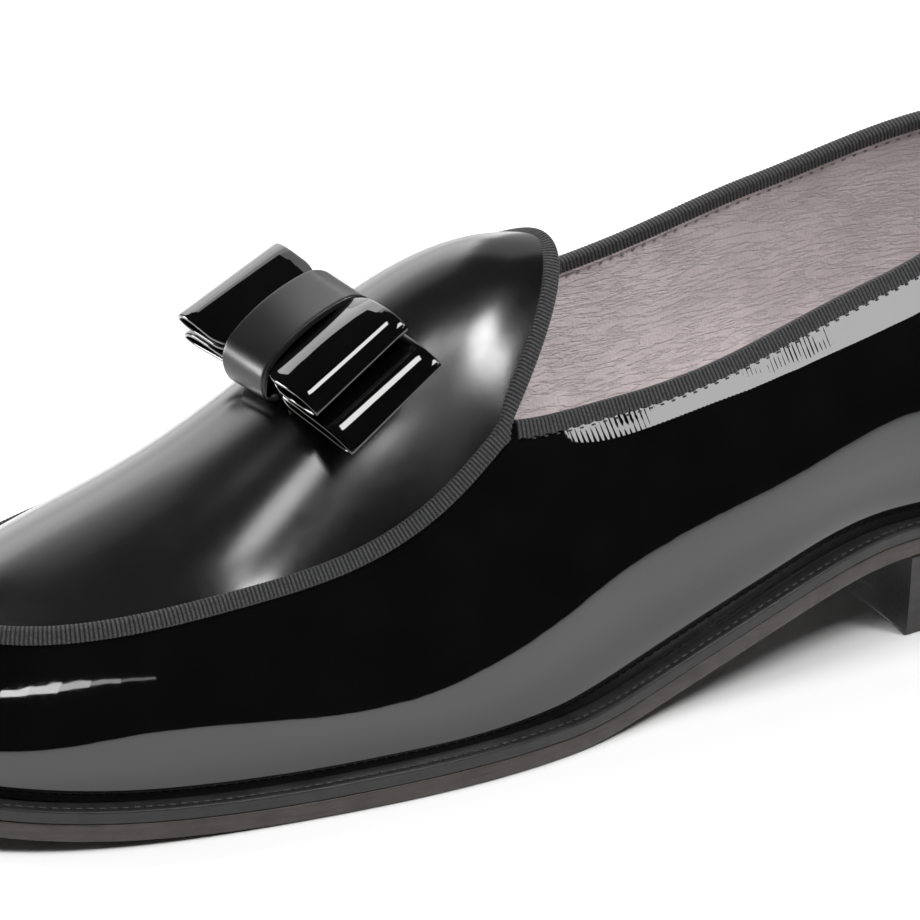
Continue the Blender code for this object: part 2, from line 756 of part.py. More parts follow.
def build_band():
    top = loop_values("bow_upper_loop")
    slope = np.radians(BOW_SLOPE)
    base = float(ridge_height(np.array(BOW_STATION)))
    rings = []
    for x in np.linspace(BAND_FROM, BAND_TO, BAND_COLUMNS + 1):
        q = (x - top["middle"]) / top["half"]
        crest = loop_height(top, x) + top["half_mid"] + (top["half_end"] - top["half_mid"]) * q**2 + GAP
        ring = []
        for out in (BAND_THICK, 0):
            along, height = arch(BAND_HALF + out, crest + out, SHOULDER + out)
            along = np.concatenate([along, -along[-2::-1]])
            height = np.concatenate([height, height[-2::-1]])
            feet = np.isnan(height)
            s = BOW_STATION + along[feet] * np.cos(slope)
            drop = apron_height(np.full_like(s, x), s) - base + along[feet] * np.sin(slope)
            height[feet] = drop * np.cos(slope) + FOOT_LIFT
            line = on_bow(np.full_like(along, x), along, height)
            ring.append(line if out else line[::-1])
        rings.append(np.concatenate(ring))
    make("bow_band", np.concatenate(rings), tube_faces(len(rings), len(rings[0]), False))


def main():
    for obj in list(bpy.data.objects):
        bpy.data.objects.remove(obj)
    build_outsole()
    build_welt()
    build_heel()
    build_insole()
    build_upper()
    build_topline_binding()
    build_plug_binding()
    build_loop("bow_lower_loop")
    build_loop("bow_upper_loop")
    build_band()


main()
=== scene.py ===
"""Looks of a left tuxedo loafer with a bow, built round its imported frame.

Sizes are in millimetres, finished meshes in metres. A point is (x, station, z): x runs to the outer
side of the foot, station from the heel's back to the toe, z up from the ground. The world has the
toe towards -Y and the outer side at +X.
"""

import bmesh
import bpy
import numpy as np
from mathutils import Matrix


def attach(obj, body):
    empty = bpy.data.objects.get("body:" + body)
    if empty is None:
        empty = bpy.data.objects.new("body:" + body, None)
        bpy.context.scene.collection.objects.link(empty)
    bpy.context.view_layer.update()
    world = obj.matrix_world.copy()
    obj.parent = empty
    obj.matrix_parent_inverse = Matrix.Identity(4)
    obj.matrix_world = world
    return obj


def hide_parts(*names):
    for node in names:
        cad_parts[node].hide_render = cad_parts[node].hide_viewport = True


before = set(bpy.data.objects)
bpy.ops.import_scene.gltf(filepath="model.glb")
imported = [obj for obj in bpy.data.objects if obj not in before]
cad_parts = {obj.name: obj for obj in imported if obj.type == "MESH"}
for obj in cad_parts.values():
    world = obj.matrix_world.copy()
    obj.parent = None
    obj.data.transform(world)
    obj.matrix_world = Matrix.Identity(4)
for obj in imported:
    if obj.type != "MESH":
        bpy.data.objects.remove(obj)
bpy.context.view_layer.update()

# Sole
HEEL_HEIGHT = 18.0
HEEL_TAPER = 1.2
BREAST = 72.0
BREAST_HOLLOW = 4.0
TREAD_START = 164.0
TREAD_END = 216.0
TOE_SPRING = 5.0
OUTSOLE_THICK = 3.8
WELT_THICK = 2.5
GAP = 0.3
WELT_WIDTH = 4.5
WELT_WIDTH_HEEL = 3.0
WELT_WIDENS = (20.0, 100.0)
WELT_UNDER_WALL = 3.5
FINE_GAP = 0.08
WELT_BOTTOM = OUTSOLE_THICK + GAP
WELT_TOP = WELT_BOTTOM + WELT_THICK
UPPER_BOTTOM = WELT_TOP + GAP

# Upper
SKIN_THICK = 1.0
WALL_THICK = 2.0
LEAN_POWER = 1.7
SWELL_SCALE = 27 / 4
TAB_STATION = 137.6
TAB_HEIGHT = 89.4
RIDGE_X = -5.0
RIDGE_TURNS_AT = 200.0
CROWN_POWER = 2.0
FULL_CROWN = 0.8
CROWN_FILLS = (182.0, 202.0)
CONE = 0.8
CONE_BLEND = (208.0, 246.0)

# Collar: a strip of the wall below the topline bends in. Its slope and its width, on the outer side
# near the throat and at the heel, and how much of it the inner side has.
ROLL_SLOPE = 0.42
ROLL_WIDTH = (6.7, 9.2)
ROLL_WIDENS = (125.0, 66.0)
ROLL_INNER = 0.35
ROLL_BLEND = 40.0
ROLL_FADE = 26.0
ROLL_SOFT = 1.6

# Toe: the wall's top bends in softly below the apron's seam.
TOE_SLOPE = 0.2
TOE_WIDTH = 8.0
TOE_BLEND = (200.0, 240.0)

# Ribbed tape
RIB_PITCH = 0.87
RIB_SAMPLES = 6
RIB_HEIGHT = 0.17
TAPE_THICK = 0.8
TOPLINE_THICK = 0.6
TAPE_OUTSIDE = 2.9
TAPE_INSIDE = 2.0
TAPE_OVER_SEAM = 1.0
TAPE_OVER_TAB = 2.4
STITCH_PITCH = 2.7

# Bow
BOW_STATION = 193.5
BOW_SLOPE = 29.0
BOW_WIDTH = 25.4
TWIST = 0.003
STRIP_THICK = 1.0
LOOP_END = 6.0
PINCH_SPAN = (16.0, 8.5)
PINCH_START = 0.15
BAND_THICK = 1.2
BAND_FROM = -11.0
BAND_TO = 3.2
BAND_MIDDLE = (BAND_FROM + BAND_TO) / 2
BAND_HALF = 13.6
BAND_FOOT = 0.25
GATHER = 2.4
GATHER_SPAN = (-6.0, 4.5)
SHOULDER = 5.5
BAND_ARCH = 14.0
ARCH_RISE = 0.6
ARCH_SPAN = 9.0
FOOT_RADIUS = 1.8
FOOT_TURN = 80.0
DROOP_SPAN = 9.0

# Sections from the heel's back to the toe tip. sole: half width of the sole; top: height of the
# upper's edge (collar, then apron seam) above the welt; lean: how far that edge leans in from the
# wall's foot; swell: how far the wall swells out below it. lat is the outer side, med the inner.
SIDE_COLUMNS = ("sole", "top", "lean", "swell")
COLUMNS = ("station", *(name + side for name in SIDE_COLUMNS for side in ("_lat", "_med")))
SECTIONS = (
    (0.0, 0.0, 0.0, 67.5, 67.5, 4.5, 4.5, 3.5, 3.5),
    (10.0, 23.5, 23.5, 66.0, 67.0, 5.0, 5.0, 3.5, 3.5),
    (35.0, 33.5, 33.0, 60.8, 64.6, 6.5, 6.0, 3.8, 3.5),
    (72.0, 35.5, 32.5, 50.4, 58.0, 4.7, 2.0, 4.0, 3.5),
    (105.0, 39.0, 28.5, 49.1, 56.5, 5.7, -3.0, 3.8, 3.0),
    (140.0, 42.0, 31.5, 54.3, 60.5, 9.0, -2.5, 2.6, 3.0),
    (162.0, 46.0, 39.5, 57.2, 61.0, 17.0, 3.5, 1.2, 2.5),
    (180.0, 47.6, 46.5, 47.7, 54.2, 15.5, 10.5, 0.4, 1.5),
    (200.0, 46.8, 51.0, 40.4, 47.0, 13.5, 15.5, 0.4, 0.8),
    (230.0, 42.5, 50.5, 36.4, 39.2, 9.5, 15.0, 0.6, 0.6),
    (260.0, 35.0, 42.5, 33.0, 33.6, 7.5, 10.0, 0.8, 0.8),
    (280.0, 24.5, 32.0, 30.2, 30.2, 9.0, 9.0, 1.0, 1.0),
    (298.0, -4.0, 4.0, 28.7, 28.7, 10.5, 10.5, 1.0, 1.0),
)
THROAT = 6

# Height of the apron's ridge over the ground, from the tab to the toe seam.
RIDGE = (
    (TAB_STATION, TAB_HEIGHT),
    (152.0, 91.8),
    (165.0, 89.7),
    (180.0, 83.5),
    (200.0, 72.5),
    (227.0, 59.8),
    (262.0, 49.0),
    (283.0, 40.6),
)

# Bow loops: middle and half length across the foot, height of the centre line over the ridge,
# its tilt and bend at the ends, half the thickness under the band and where the loop is fullest,
# and how far the ends droop.
LOOP_COLUMNS = ("middle", "half", "height", "tilt", "bend", "half_mid", "half_full", "droop")
LOOPS = {
    "lower": (-1.6, 28.2, 2.8, -3.2, -2.2, 1.2, 2.0, 0.4),
    "upper": (-3.6, 23.4, 6.9, -2.6, 1.4, 1.2, 2.4, 1.3),
}

# Mesh: the wall's rows, steps along each seam and steps round the rear, then the apron's steps.
QUARTER_STEPS = (56, 130, 220)
LINING_STEPS = (40, 90, 150)
APRON_SEAM = 150
APRON_TAB = 50
APRON_COLUMNS = 64
EASE_PASSES = 100
EASE_COLUMNS = 8
OUTLINE_SAMPLES = 2000
DENSE = 2 * OUTLINE_SAMPLES
SHARP_ANGLE = 50.0
WELD = 1e-7
SMALL = 0.01
TINY = 1e-9


def unit(v):
    return v / np.maximum(np.linalg.norm(v, axis=-1, keepdims=True), TINY)


def square_to(v, along):
    """The part of v at right angles to a unit direction, with length one."""
    return unit(v - along * np.sum(v * along, axis=-1, keepdims=True))


def mix(first, last, part):
    return first + (last - first) * part


def smooth(q):
    q = np.clip(q, 0, 1)
    return q * q * (3 - 2 * q)


def ease(q, first, last):
    """0 at first, 1 at last, smooth between them and level beyond; last may be the smaller one."""
    return smooth((q - first) / (last - first))


def spline(knots, values, periodic=False):
    """A cubic curve with even curvature through the values; periodic joins its ends."""
    t = np.asarray(knots, float)
    y = np.asarray(values, float).reshape(len(t), -1)
    step = np.diff(t)
    last = len(t) - 1
    left = np.zeros((last + 1, last + 1))
    right = np.zeros_like(y)
    for i in range(1, last):
        left[i, i - 1 : i + 2] = step[i - 1], 2 * (step[i - 1] + step[i]), step[i]
        right[i] = 6 * ((y[i + 1] - y[i]) / step[i] - (y[i] - y[i - 1]) / step[i - 1])
    left[0, 0] = 1
    left[last, last] = 1
    if periodic:
        left[0, 0] = 2 * (step[0] + step[-1])
        left[0, 1] = step[0]
        left[0, last - 1] = step[-1]
        right[0] = 6 * ((y[1] - y[0]) / step[0] - (y[0] - y[last - 1]) / step[-1])
        left[last, 0] = -1
    bend = np.linalg.solve(left, right)

    def at(q):
        q = np.asarray(q, float)
        if periodic:
            q = t[0] + np.mod(q - t[0], t[-1] - t[0])
        i = np.clip(np.searchsorted(t, q, side="right") - 1, 0, last - 1)
        a = (t[i + 1] - q)[..., None]
        b = (q - t[i])[..., None]
        w = step[i][..., None]
        cubic = (bend[i] * a**3 + bend[i + 1] * b**3) / (6 * w)
        line = (y[i] / w - bend[i] * w / 6) * a + (y[i + 1] / w - bend[i + 1] * w / 6) * b
        found = cubic + line
        return found if np.ndim(values) > 1 else found[..., 0]

    return at


TABLE = {name: np.array([row[i] for row in SECTIONS]) for i, name in enumerate(COLUMNS)}
LENGTH = SECTIONS[-1][0]


def round_values(name, med_sign=1):
    """One column round the shoe: heel, outer side, toe, inner side, heel."""
    return np.concatenate([TABLE[name + "_lat"], med_sign * TABLE[name + "_med"][-2::-1]])


AROUND_X = round_values("sole", -1)
AROUND_S = np.concatenate([TABLE["station"], TABLE["station"][-2::-1]])
AROUND = np.concatenate([[0], np.cumsum(np.hypot(np.diff(AROUND_X), np.diff(AROUND_S)))])
BACK = len(AROUND) - 1 - THROAT
U_END = AROUND[-1]
U_TIP = AROUND[len(SECTIONS) - 1]
U_LAT = AROUND[THROAT]
U_MED = AROUND[BACK]
TOPS = round_values("top")

outline = spline(AROUND, np.stack([AROUND_X, AROUND_S], axis=1), periodic=True)
wall_height = spline(AROUND, TOPS, periodic=True)
lean = spline(AROUND, round_values("lean"), periodic=True)
swell = spline(AROUND, round_values("swell"), periodic=True)
seam_top = spline(AROUND[THROAT : BACK + 1], TOPS[THROAT : BACK + 1])
collar_top = spline(
    np.concatenate([AROUND[BACK:] - U_END, AROUND[1 : THROAT + 1]]),
    np.concatenate([TOPS[BACK:], TOPS[1 : THROAT + 1]]),
)
ridge_height = spline(*np.transpose(RIDGE))


def edge_height(u):
    """Height of the upper's edge over the welt: the seam before the throat, the collar behind."""
    u = np.mod(u, U_END)
    front = seam_top(np.clip(u, U_LAT, U_MED))
    back = collar_top(from_heel(u))
    return np.where((u >= U_LAT) & (u <= U_MED), front, back)


def outward(u):
    """The direction out of the sole's outline, as (x, station)."""
    along = unit(outline(u + SMALL) - outline(u - SMALL))
    return np.stack([along[..., 1], -along[..., 0]], axis=-1)


def sole_height(s):
    arch = HEEL_HEIGHT * ease(s, TREAD_START, BREAST)
    spring = TOE_SPRING * np.clip((s - TREAD_END) / (LENGTH - TREAD_END), 0, None) ** 2
    return arch + spring


def welt_width(s):
    return mix(WELT_WIDTH_HEEL, WELT_WIDTH, ease(s, *WELT_WIDENS))


def inset_outline(u, inset):
    """The sole's outline moved in by the inset, as (x, station)."""
    return outline(u) - outward(u) * np.asarray(inset)[..., None]


def from_heel(u):
    """Distance round the outline from the heel's back: positive on the outer side."""
    u = np.mod(u, U_END)
    return np.where(u > U_END / 2, u - U_END, u)


def behind_throat(u):
    """Distance round the outline behind the nearer throat, negative in front of it."""
    signed = from_heel(u)
    return np.where(signed > 0, U_LAT - signed, signed - (U_MED - U_END))


def collar_roll(u, s, below):
    """How far the wall bends in at a distance below its edge: at the collar and at the toe."""
    side = mix(ROLL_INNER, 1, smooth(from_heel(u) / ROLL_BLEND + 0.5))
    over = mix(*ROLL_WIDTH, ease(s, *ROLL_WIDENS)) - below
    bent = np.clip(over + ROLL_SOFT, 0, 2 * ROLL_SOFT)
    reach = bent**2 / (4 * ROLL_SOFT) + np.clip(over - ROLL_SOFT, 0, None)
    collar = ROLL_SLOPE * side * smooth(behind_throat(u) / ROLL_FADE) * reach
    toe = np.clip(TOE_WIDTH - below, 0, None) ** 2 * TOE_SLOPE / (2 * TOE_WIDTH)
    return collar + toe * ease(s, *TOE_BLEND)


def wall(u, height):
    """The upper's outer wall at a height over the welt."""
    u = np.asarray(u, float)
    p = outline(u)
    q = height / wall_height(u)
    out = swell(u) * SWELL_SCALE * q * np.clip(1 - q, 0, None) ** 2
    out = out - lean(u) * np.clip(q, 0, None) ** LEAN_POWER - welt_width(p[..., 1])
    out = out - collar_roll(u, p[..., 1], edge_height(u) - height)
    flat = p + outward(u) * out[..., None]
    z = sole_height(p[..., 1]) + UPPER_BOTTOM + height
    return np.concatenate([flat, z[..., None]], axis=-1)


def wall_frame(u, height):
    """The wall's outward normal and its upward direction."""
    along = wall(u + SMALL, height) - wall(u - SMALL, height)
    rise = wall(u, height + SMALL) - wall(u, height - SMALL)
    return unit(np.cross(along, rise)), unit(rise)


def tab_edge(junction, q):
    """The tab's edge from its back middle (q 0) to the throat junction (q 1)."""
    q = q[:, None]
    apex = np.array([RIDGE_X, TAB_STATION, TAB_HEIGHT])
    return mix(apex, junction, np.concatenate([q, q**2, q**2], axis=1))


def seam_places():
    """Places round the outline along the apron's seam, from the toe to the outer and inner throat."""
    return [np.linspace(U_TIP, throat, APRON_SEAM + 1) for throat in (U_LAT, U_MED)]


def apron_sides():
    """Both edges of the apron from the toe seam back to the tab's middle, and its ridge line."""
    q = np.linspace(1, 0, APRON_TAB + 1)[1:]
    seams = [wall(u, edge_height(u)) for u in seam_places()]
    lat, med = [np.concatenate([seam, tab_edge(seam[-1], q)]) for seam in seams]
    s = (lat[:, 1] + med[:, 1]) / 2
    tip = lat[0]
    x = mix(RIDGE_X, tip[0], ease(s, RIDGE_TURNS_AT, tip[1]))
    ridge = np.stack([x, s, ridge_height(s)], axis=1)
    ridge[0] = tip
    ridge[-1] = lat[-1]
    return lat, med, ridge


def crown(t, s, outer):
    """The apron's drop at a station, from 0 on its ridge (t 0) to 1 at its edge (t 1).

    The outer side is fuller beside the bow and straighter in front of it.
    """
    rounded = t ** (CROWN_POWER + FULL_CROWN * ease(s, *CROWN_FILLS) * outer)
    straight = (1 + CONE) * t**2 / (t + CONE)
    return mix(rounded, straight, ease(s, *CONE_BLEND) * outer)


def eased(grid):
    """The grid with its rows evened out along the shoe, away from its edges."""
    count = grid.shape[1]
    inside = np.minimum(np.arange(count), np.arange(count)[::-1])
    weight = smooth(inside / EASE_COLUMNS)[None, :, None]
    grid = grid.copy()
    for _ in range(EASE_PASSES):
        even = (grid[:-2] + 2 * grid[1:-1] + grid[2:]) / 4
        grid[1:-1] += weight * (even - grid[1:-1])
    return grid


def apron_grid():
    """The apron's points: rows from its outer edge over the ridge to its inner edge."""
    lat, med, ridge = apron_sides()
    t = np.linspace(1, -1, APRON_COLUMNS + 1)[None, :, None]
    edge = np.where(t >= 0, lat[:, None], med[:, None])
    away = np.broadcast_to(np.abs(t), (len(lat), APRON_COLUMNS + 1, 1))
    part = np.concatenate([away, away**2, crown(away, ridge[:, None, 1:2], t >= 0)], axis=2)
    return eased(mix(ridge[:, None], edge, part))


SAMPLE = outline(np.linspace(0, U_END, OUTLINE_SAMPLES))
CENTRE_X, CENTRE_S = (SAMPLE.max(axis=0) + SAMPLE.min(axis=0)) / 2


def to_world(points):
    """Points (x, station, z) in millimetres as world points in metres."""
    points = np.asarray(points, float)
    moved = [points[..., 0] - CENTRE_X, CENTRE_S - points[..., 1], points[..., 2]]
    return np.stack(moved, axis=-1) / 1000


# Mesh helpers


def add_object(name, data):
    made = bpy.data.objects.new(name, data)
    bpy.context.scene.collection.objects.link(made)
    return made


def add_piece(name, points, faces, material, nodes=(), values=None):
    """A closed smooth piece that rides on the shoe; values are named rows of one number per point."""
    mesh = bpy.data.meshes.new(name)
    mesh.from_pydata(to_world(points).tolist(), [], [tuple(int(i) for i in face) for face in faces])
    for key, numbers in (values or {}).items():
        row = mesh.attributes.new(key, "FLOAT", "POINT")
        row.data.foreach_set("value", np.asarray(numbers, np.float32).ravel())
    work = bmesh.new()
    work.from_mesh(mesh)
    bmesh.ops.remove_doubles(work, verts=work.verts, dist=WELD)
    bmesh.ops.recalc_face_normals(work, faces=work.faces)
    if work.calc_volume(signed=True) < 0:
        bmesh.ops.reverse_faces(work, faces=work.faces)
    work.to_mesh(mesh)
    work.free()
    mesh.shade_smooth()
    mesh.set_sharp_from_angle(angle=np.radians(SHARP_ANGLE))
    mesh.materials.append(material)
    piece = add_object(name, mesh)
    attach(piece, "root")
    if nodes:
        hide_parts(*nodes)
    return piece


def grid_faces(index):
    """Quads between the rows and columns of a grid of point numbers."""
    corners = [index[:-1, :-1], index[:-1, 1:], index[1:, 1:], index[1:, :-1]]
    return np.stack(corners, axis=-1).reshape(-1, 4)


def shell_faces(rows, cols, wrap):
    """Quads of a thin shell: two sheets of rows by cols points and the rims that join them."""
    count = rows * cols
    index = np.arange(count).reshape(rows, cols)
    if wrap:
        index = np.concatenate([index, index[:, :1]], axis=1)
    sheet = grid_faces(index)
    faces = [sheet, sheet[:, ::-1] + count]
    rims = [index[0], index[-1]]
    if not wrap:
        rims += [index[:, 0], index[:, -1]]
    faces += [grid_faces(np.stack([line, line + count])) for line in rims]
    return np.concatenate(faces)


def add_shell(name, near, far, wrap, material, values=None):
    """A thin piece of the upper between two sheets of points; wrap joins last and first column."""
    points = np.concatenate([near, far]).reshape(-1, 3)
    faces = shell_faces(*near.shape[:2], wrap)
    return add_piece(name, points, faces, material, ["upper"], values)


def tube_faces(rings, count, closed):
    """Faces between rings of count points each; an open tube gets flat ends."""
    index = np.arange(rings * count).reshape(rings, count)
    ends = [] if closed else [index[0].tolist(), index[-1].tolist()]
    index = np.concatenate([index, index[:, :1]], axis=1)
    if closed:
        index = np.concatenate([index, index[:1]])
    return grid_faces(index).tolist() + ends


def add_tube(name, rings, closed, material, nodes=(), values=None):
    """A piece of rings of points, joined into a circle or closed with flat ends."""
    faces = tube_faces(len(rings), rings.shape[1], closed)
    add_piece(name, rings.reshape(-1, 3), faces, material, nodes, values)


def add_stack(name, points, count, material, node):
    """A piece of stacked rings of count points, with strips across its first and its last ring."""
    levels = len(points) // count
    faces = tube_faces(levels, count, False)[:-2]
    for base in (0, (levels - 1) * count):
        for i in range(count // 2):
            strip = [base + i, base + i + 1, base + count - i - 1, base + (count - i) % count]
            faces.append(list(dict.fromkeys(strip)))
    add_piece(name, points, faces, material, [node])


def grid_normals(grid, wrap):
    """Unit normals of a grid of points; wrap joins its last column to its first."""
    rows = np.gradient(grid, axis=0)
    if wrap:
        cols = np.roll(grid, -1, axis=1) - np.roll(grid, 1, axis=1)
    else:
        cols = np.gradient(grid, axis=1)
    normals = np.cross(cols, rows)
    lengths = np.linalg.norm(normals, axis=-1)
    for row, beside in ((0, 1), (-1, -2)):
        if lengths[row].max() < TINY:
            normals[row] = normals[beside].mean(axis=0)
    return unit(normals)


def lengths_along(points):
    return np.concatenate([[0], np.cumsum(np.linalg.norm(np.diff(points, axis=0), axis=1))])


def even_steps(values, points, step):
    """The values read at even steps along the line of points."""
    length = lengths_along(points)
    count = int(round(length[-1] / step))
    at = np.linspace(0, length[-1], count + 1)
    values = np.asarray(values)
    if values.ndim == 1:
        return np.interp(at, length, values)
    return np.stack([np.interp(at, length, column) for column in values.T], axis=1)


def averaged(values, span):
    """Values along a closed line, each averaged with its neighbours."""
    total = np.zeros_like(values)
    for shift in range(-span, span + 1):
        total += np.roll(values, shift, axis=0)
    return total / (2 * span + 1)


# Materials: noise scales are in cells per metre, bump depths in millimetres


def add_node(tree, kind, inputs=None, **settings):
    made = tree.nodes.new(kind)
    for key, value in settings.items():
        setattr(made, key, value)
    for key, value in (inputs or {}).items():
        if isinstance(value, bpy.types.NodeSocket):
            tree.links.new(value, made.inputs[key])
        else:
            made.inputs[key].default_value = value
    return made


def new_material(name, **sockets):
    """A node material and its tree, with constants set on its shader's sockets."""
    material = bpy.data.materials.new(name)
    material.use_nodes = True
    shader = material.node_tree.nodes["Principled BSDF"]
    for key, value in sockets.items():
        shader.inputs[key.replace("_", " ")].default_value = value
    return material, material.node_tree


def dress(material, colour, rough, normal, coated=False):
    """The material with its shader linked; a coat takes the same normal."""
    tree = material.node_tree
    links = {"Base Color": colour, "Roughness": rough, "Normal": normal}
    if coated:
        links["Coat Normal"] = normal
    for key, value in links.items():
        tree.links.new(value, tree.nodes["Principled BSDF"].inputs[key])
    return material


def place(tree):
    return tree.nodes.new("ShaderNodeTexCoord").outputs["Object"]


def attribute(tree, name):
    return add_node(tree, "ShaderNodeAttribute", attribute_name=name).outputs["Fac"]


def noise(tree, vector, scale, detail=2.0, roughness=0.5):
    inputs = {"Vector": vector, "Scale": scale, "Detail": detail, "Roughness": roughness}
    return add_node(tree, "ShaderNodeTexNoise", inputs).outputs["Fac"]


def cells(tree, vector, scale):
    inputs = {"Vector": vector, "Scale": scale}
    return add_node(tree, "ShaderNodeTexVoronoi", inputs).outputs["Distance"]


def stretched(tree, vector, scale):
    inputs = {"Vector": vector, "Scale": scale}
    return add_node(tree, "ShaderNodeMapping", inputs).outputs["Vector"]


def maths(tree, operation, a, b=0.0):
    return add_node(tree, "ShaderNodeMath", {0: a, 1: b}, operation=operation).outputs[0]


def remap(tree, value, low, high, to_low, to_high):
    inputs = {"Value": value, "From Min": low, "From Max": high}
    inputs |= {"To Min": to_low, "To Max": to_high}
    return add_node(tree, "ShaderNodeMapRange", inputs).outputs["Result"]


NOISE_RANGE = (0.3, 0.7)


def spread(tree, noisy, low, high):
    """A noise's usual range spread from low to high."""
    return remap(tree, noisy, *NOISE_RANGE, low, high)


def ramp(tree, factor, low, low_colour, high, high_colour):
    made = add_node(tree, "ShaderNodeValToRGB", {"Fac": factor})
    first, second = made.color_ramp.elements
    first.position = low
    first.color = (*low_colour, 1)
    second.position = high
    second.color = (*high_colour, 1)
    return made.outputs["Color"]


def bump(tree, height, depth, under=None):
    """A bump of the given depth in millimetres, on top of another bump."""
    inputs = {"Height": height, "Strength": 1.0, "Distance": depth / 1000}
    if under is not None:
        inputs["Normal"] = under
    return add_node(tree, "ShaderNodeBump", inputs).outputs["Normal"]


PUCKER_PITCH = 1.05


def patent_leather():
    """Mirror-black lacquered leather, with fine puckers where the topline's tape is sewn on."""
    coat = {"Coat_Weight": 1.0, "Coat_Roughness": 0.015, "Coat_IOR": 1.5}
    material, tree = new_material("patent_leather", IOR=1.5, **coat)
    here = place(tree)
    cloud = noise(tree, here, 70)
    colour = ramp(tree, cloud, 0.35, (0.0014, 0.0014, 0.0015), 0.7, (0.0026, 0.0026, 0.0027))
    rough = spread(tree, noise(tree, here, 900, 3), 0.02, 0.05)
    turn = maths(tree, "MULTIPLY", attribute(tree, "along"), 2 * np.pi / PUCKER_PITCH)
    pucker = maths(tree, "MULTIPLY", maths(tree, "SINE", turn), attribute(tree, "pucker"))
    pucker = maths(tree, "MULTIPLY", pucker, spread(tree, noise(tree, here, 260), 0.3, 1.0))
    normal = bump(tree, noise(tree, here, 170, 1), 0.012)
    normal = bump(tree, pucker, 0.010, normal)
    return dress(material, colour, rough, normal, True)


def calf(name, cloud, low_colour, high_colour, speck, rough, grain, **coat):
    """Black calf: clouds of colour and specks of gloss of the given scales, over a very fine grain."""
    material, tree = new_material(name, IOR=1.5, **coat)
    here = place(tree)
    colour = ramp(tree, noise(tree, here, cloud, 3), 0.3, low_colour, 0.75, high_colour)
    shine = spread(tree, noise(tree, here, speck, 4), *rough)
    normal = bump(tree, cells(tree, here, 2600), grain)
    return dress(material, colour, shine, normal, bool(coat))


def smooth_calf():
    """Polished calf with a soft gloss."""
    coat = {"Coat_Weight": 0.7, "Coat_Roughness": 0.19, "Coat_IOR": 1.5}
    dark, light = (0.004, 0.004, 0.0042), (0.008, 0.0078, 0.0078)
    return calf("smooth_calf", 55, dark, light, 420, (0.19, 0.24), 0.003, **coat)


def satin_calf():
    """The bow's strap: the same calf left duller and a little greyer."""
    dark, light = (0.010, 0.010, 0.0103), (0.015, 0.0148, 0.015)
    return calf("satin_calf", 80, dark, light, 500, (0.28, 0.34), 0.006)


def ribbed_tape():
    """Black corded tape: dull threads, with painted shade in the grooves between the cords and painted
    light on the cords.
    """
    material, tree = new_material("ribbed_tape", Sheen_Weight=0.25, Sheen_Roughness=0.4)
    fibre = noise(tree, place(tree), 3800, 2)
    # The colour is dark in the grooves and light on the cords, following their bulge: painted shade and
    # painted highlight, varied by the fibre noise.
    crest = maths(tree, "MULTIPLY", attribute(tree, "rib_shading"), spread(tree, fibre, 0.25, 1.1))
    colour = ramp(tree, crest, 0.2, (0.004, 0.004, 0.0043), 0.95, (0.085, 0.085, 0.088))
    return dress(material, colour, spread(tree, fibre, 0.6, 0.85), bump(tree, fibre, 0.06))


def lining_leather():
    """Mauve-grey lining leather with pores and creases that run round the shoe, its colour darkened
    along the creases as painted shade.
    """
    material, tree = new_material("lining_leather", IOR=1.45)
    here = place(tree)
    flow = stretched(tree, here, (150, 110, 620))
    crease = maths(tree, "SUBTRACT", noise(tree, flow, 1.0, 4, 0.6), 0.5)
    crease = maths(tree, "ABSOLUTE", crease)
    # Along the creases the colour is darkened to 0.55 of its cloud tone: painted shade.
    tone = maths(tree, "MULTIPLY", noise(tree, here, 90, 3), remap(tree, crease, 0.0, 0.04, 0.55, 1.0))
    colour = ramp(tree, tone, 0.2, (0.63, 0.572, 0.58), 0.62, (0.765, 0.695, 0.704))
    rough = spread(tree, noise(tree, here, 700, 3), 0.42, 0.6)
    normal = bump(tree, cells(tree, here, 1300), 0.10)
    normal = bump(tree, remap(tree, crease, 0.0, 0.06, 0.0, 1.0), 0.2, normal)
    return dress(material, colour, rough, normal)


def edge_leather(name, low_colour, high_colour, rough_from, rough_to, coat):
    """Dressed leather of the welt, the sole's edge and the heel, with a faint layered grain."""
    material, tree = new_material(name, IOR=1.5, Coat_Weight=coat, Coat_Roughness=0.25)
    here = place(tree)
    layers = noise(tree, stretched(tree, here, (90, 90, 1500)), 1.0, 3, 0.55)
    tone = maths(tree, "ADD", layers, noise(tree, here, 160, 4))
    colour = ramp(tree, maths(tree, "MULTIPLY", tone, 0.5), 0.35, low_colour, 0.65, high_colour)
    rough = spread(tree, noise(tree, here, 600, 3), rough_from, rough_to)
    normal = bump(tree, layers, 0.05)
    normal = bump(tree, noise(tree, here, 1800, 2), 0.04, normal)
    return dress(material, colour, rough, normal)


def thread(name, low_colour, high_colour):
    """Waxed sewing thread with a fine twist."""
    material, tree = new_material(name, IOR=1.5)
    twist = noise(tree, place(tree), 3500, 2)
    colour = ramp(tree, twist, 0.3, low_colour, 0.7, high_colour)
    return dress(material, colour, spread(tree, twist, 0.3, 0.5), bump(tree, twist, 0.05))


# Upper


FOOT = -0.25
PUCKER_REACH = 7.0
PUCKER_LEAST = 0.3
PUCKER_RISES = (95.0, 140.0)
PUCKER_FADE = 12.0

# Unevenness of the lasted wall: fine waves round the shoe that sway with the height, and broad ones.
WAVE_DEPTH = 0.04
FINE_WAVES = 18
FINE_SHARE = 0.5
SWAY = 0.9
SWAY_HEIGHT = 7.0
BROAD_WAVES = 8
BROAD_SHARE = 0.8
BROAD_SHIFT = (1.7, 0.6)
BROAD_HEIGHT = 8.5


def lasting_waves(u, height):
    turn = 2 * np.pi * u / U_END
    fine = np.sin(FINE_WAVES * turn + SWAY * np.sin(height / SWAY_HEIGHT))
    broad = np.sin(BROAD_WAVES * turn + BROAD_SHIFT[0]) * np.sin(height / BROAD_HEIGHT + BROAD_SHIFT[1])
    return WAVE_DEPTH * (FINE_SHARE * fine + BROAD_SHARE * broad)


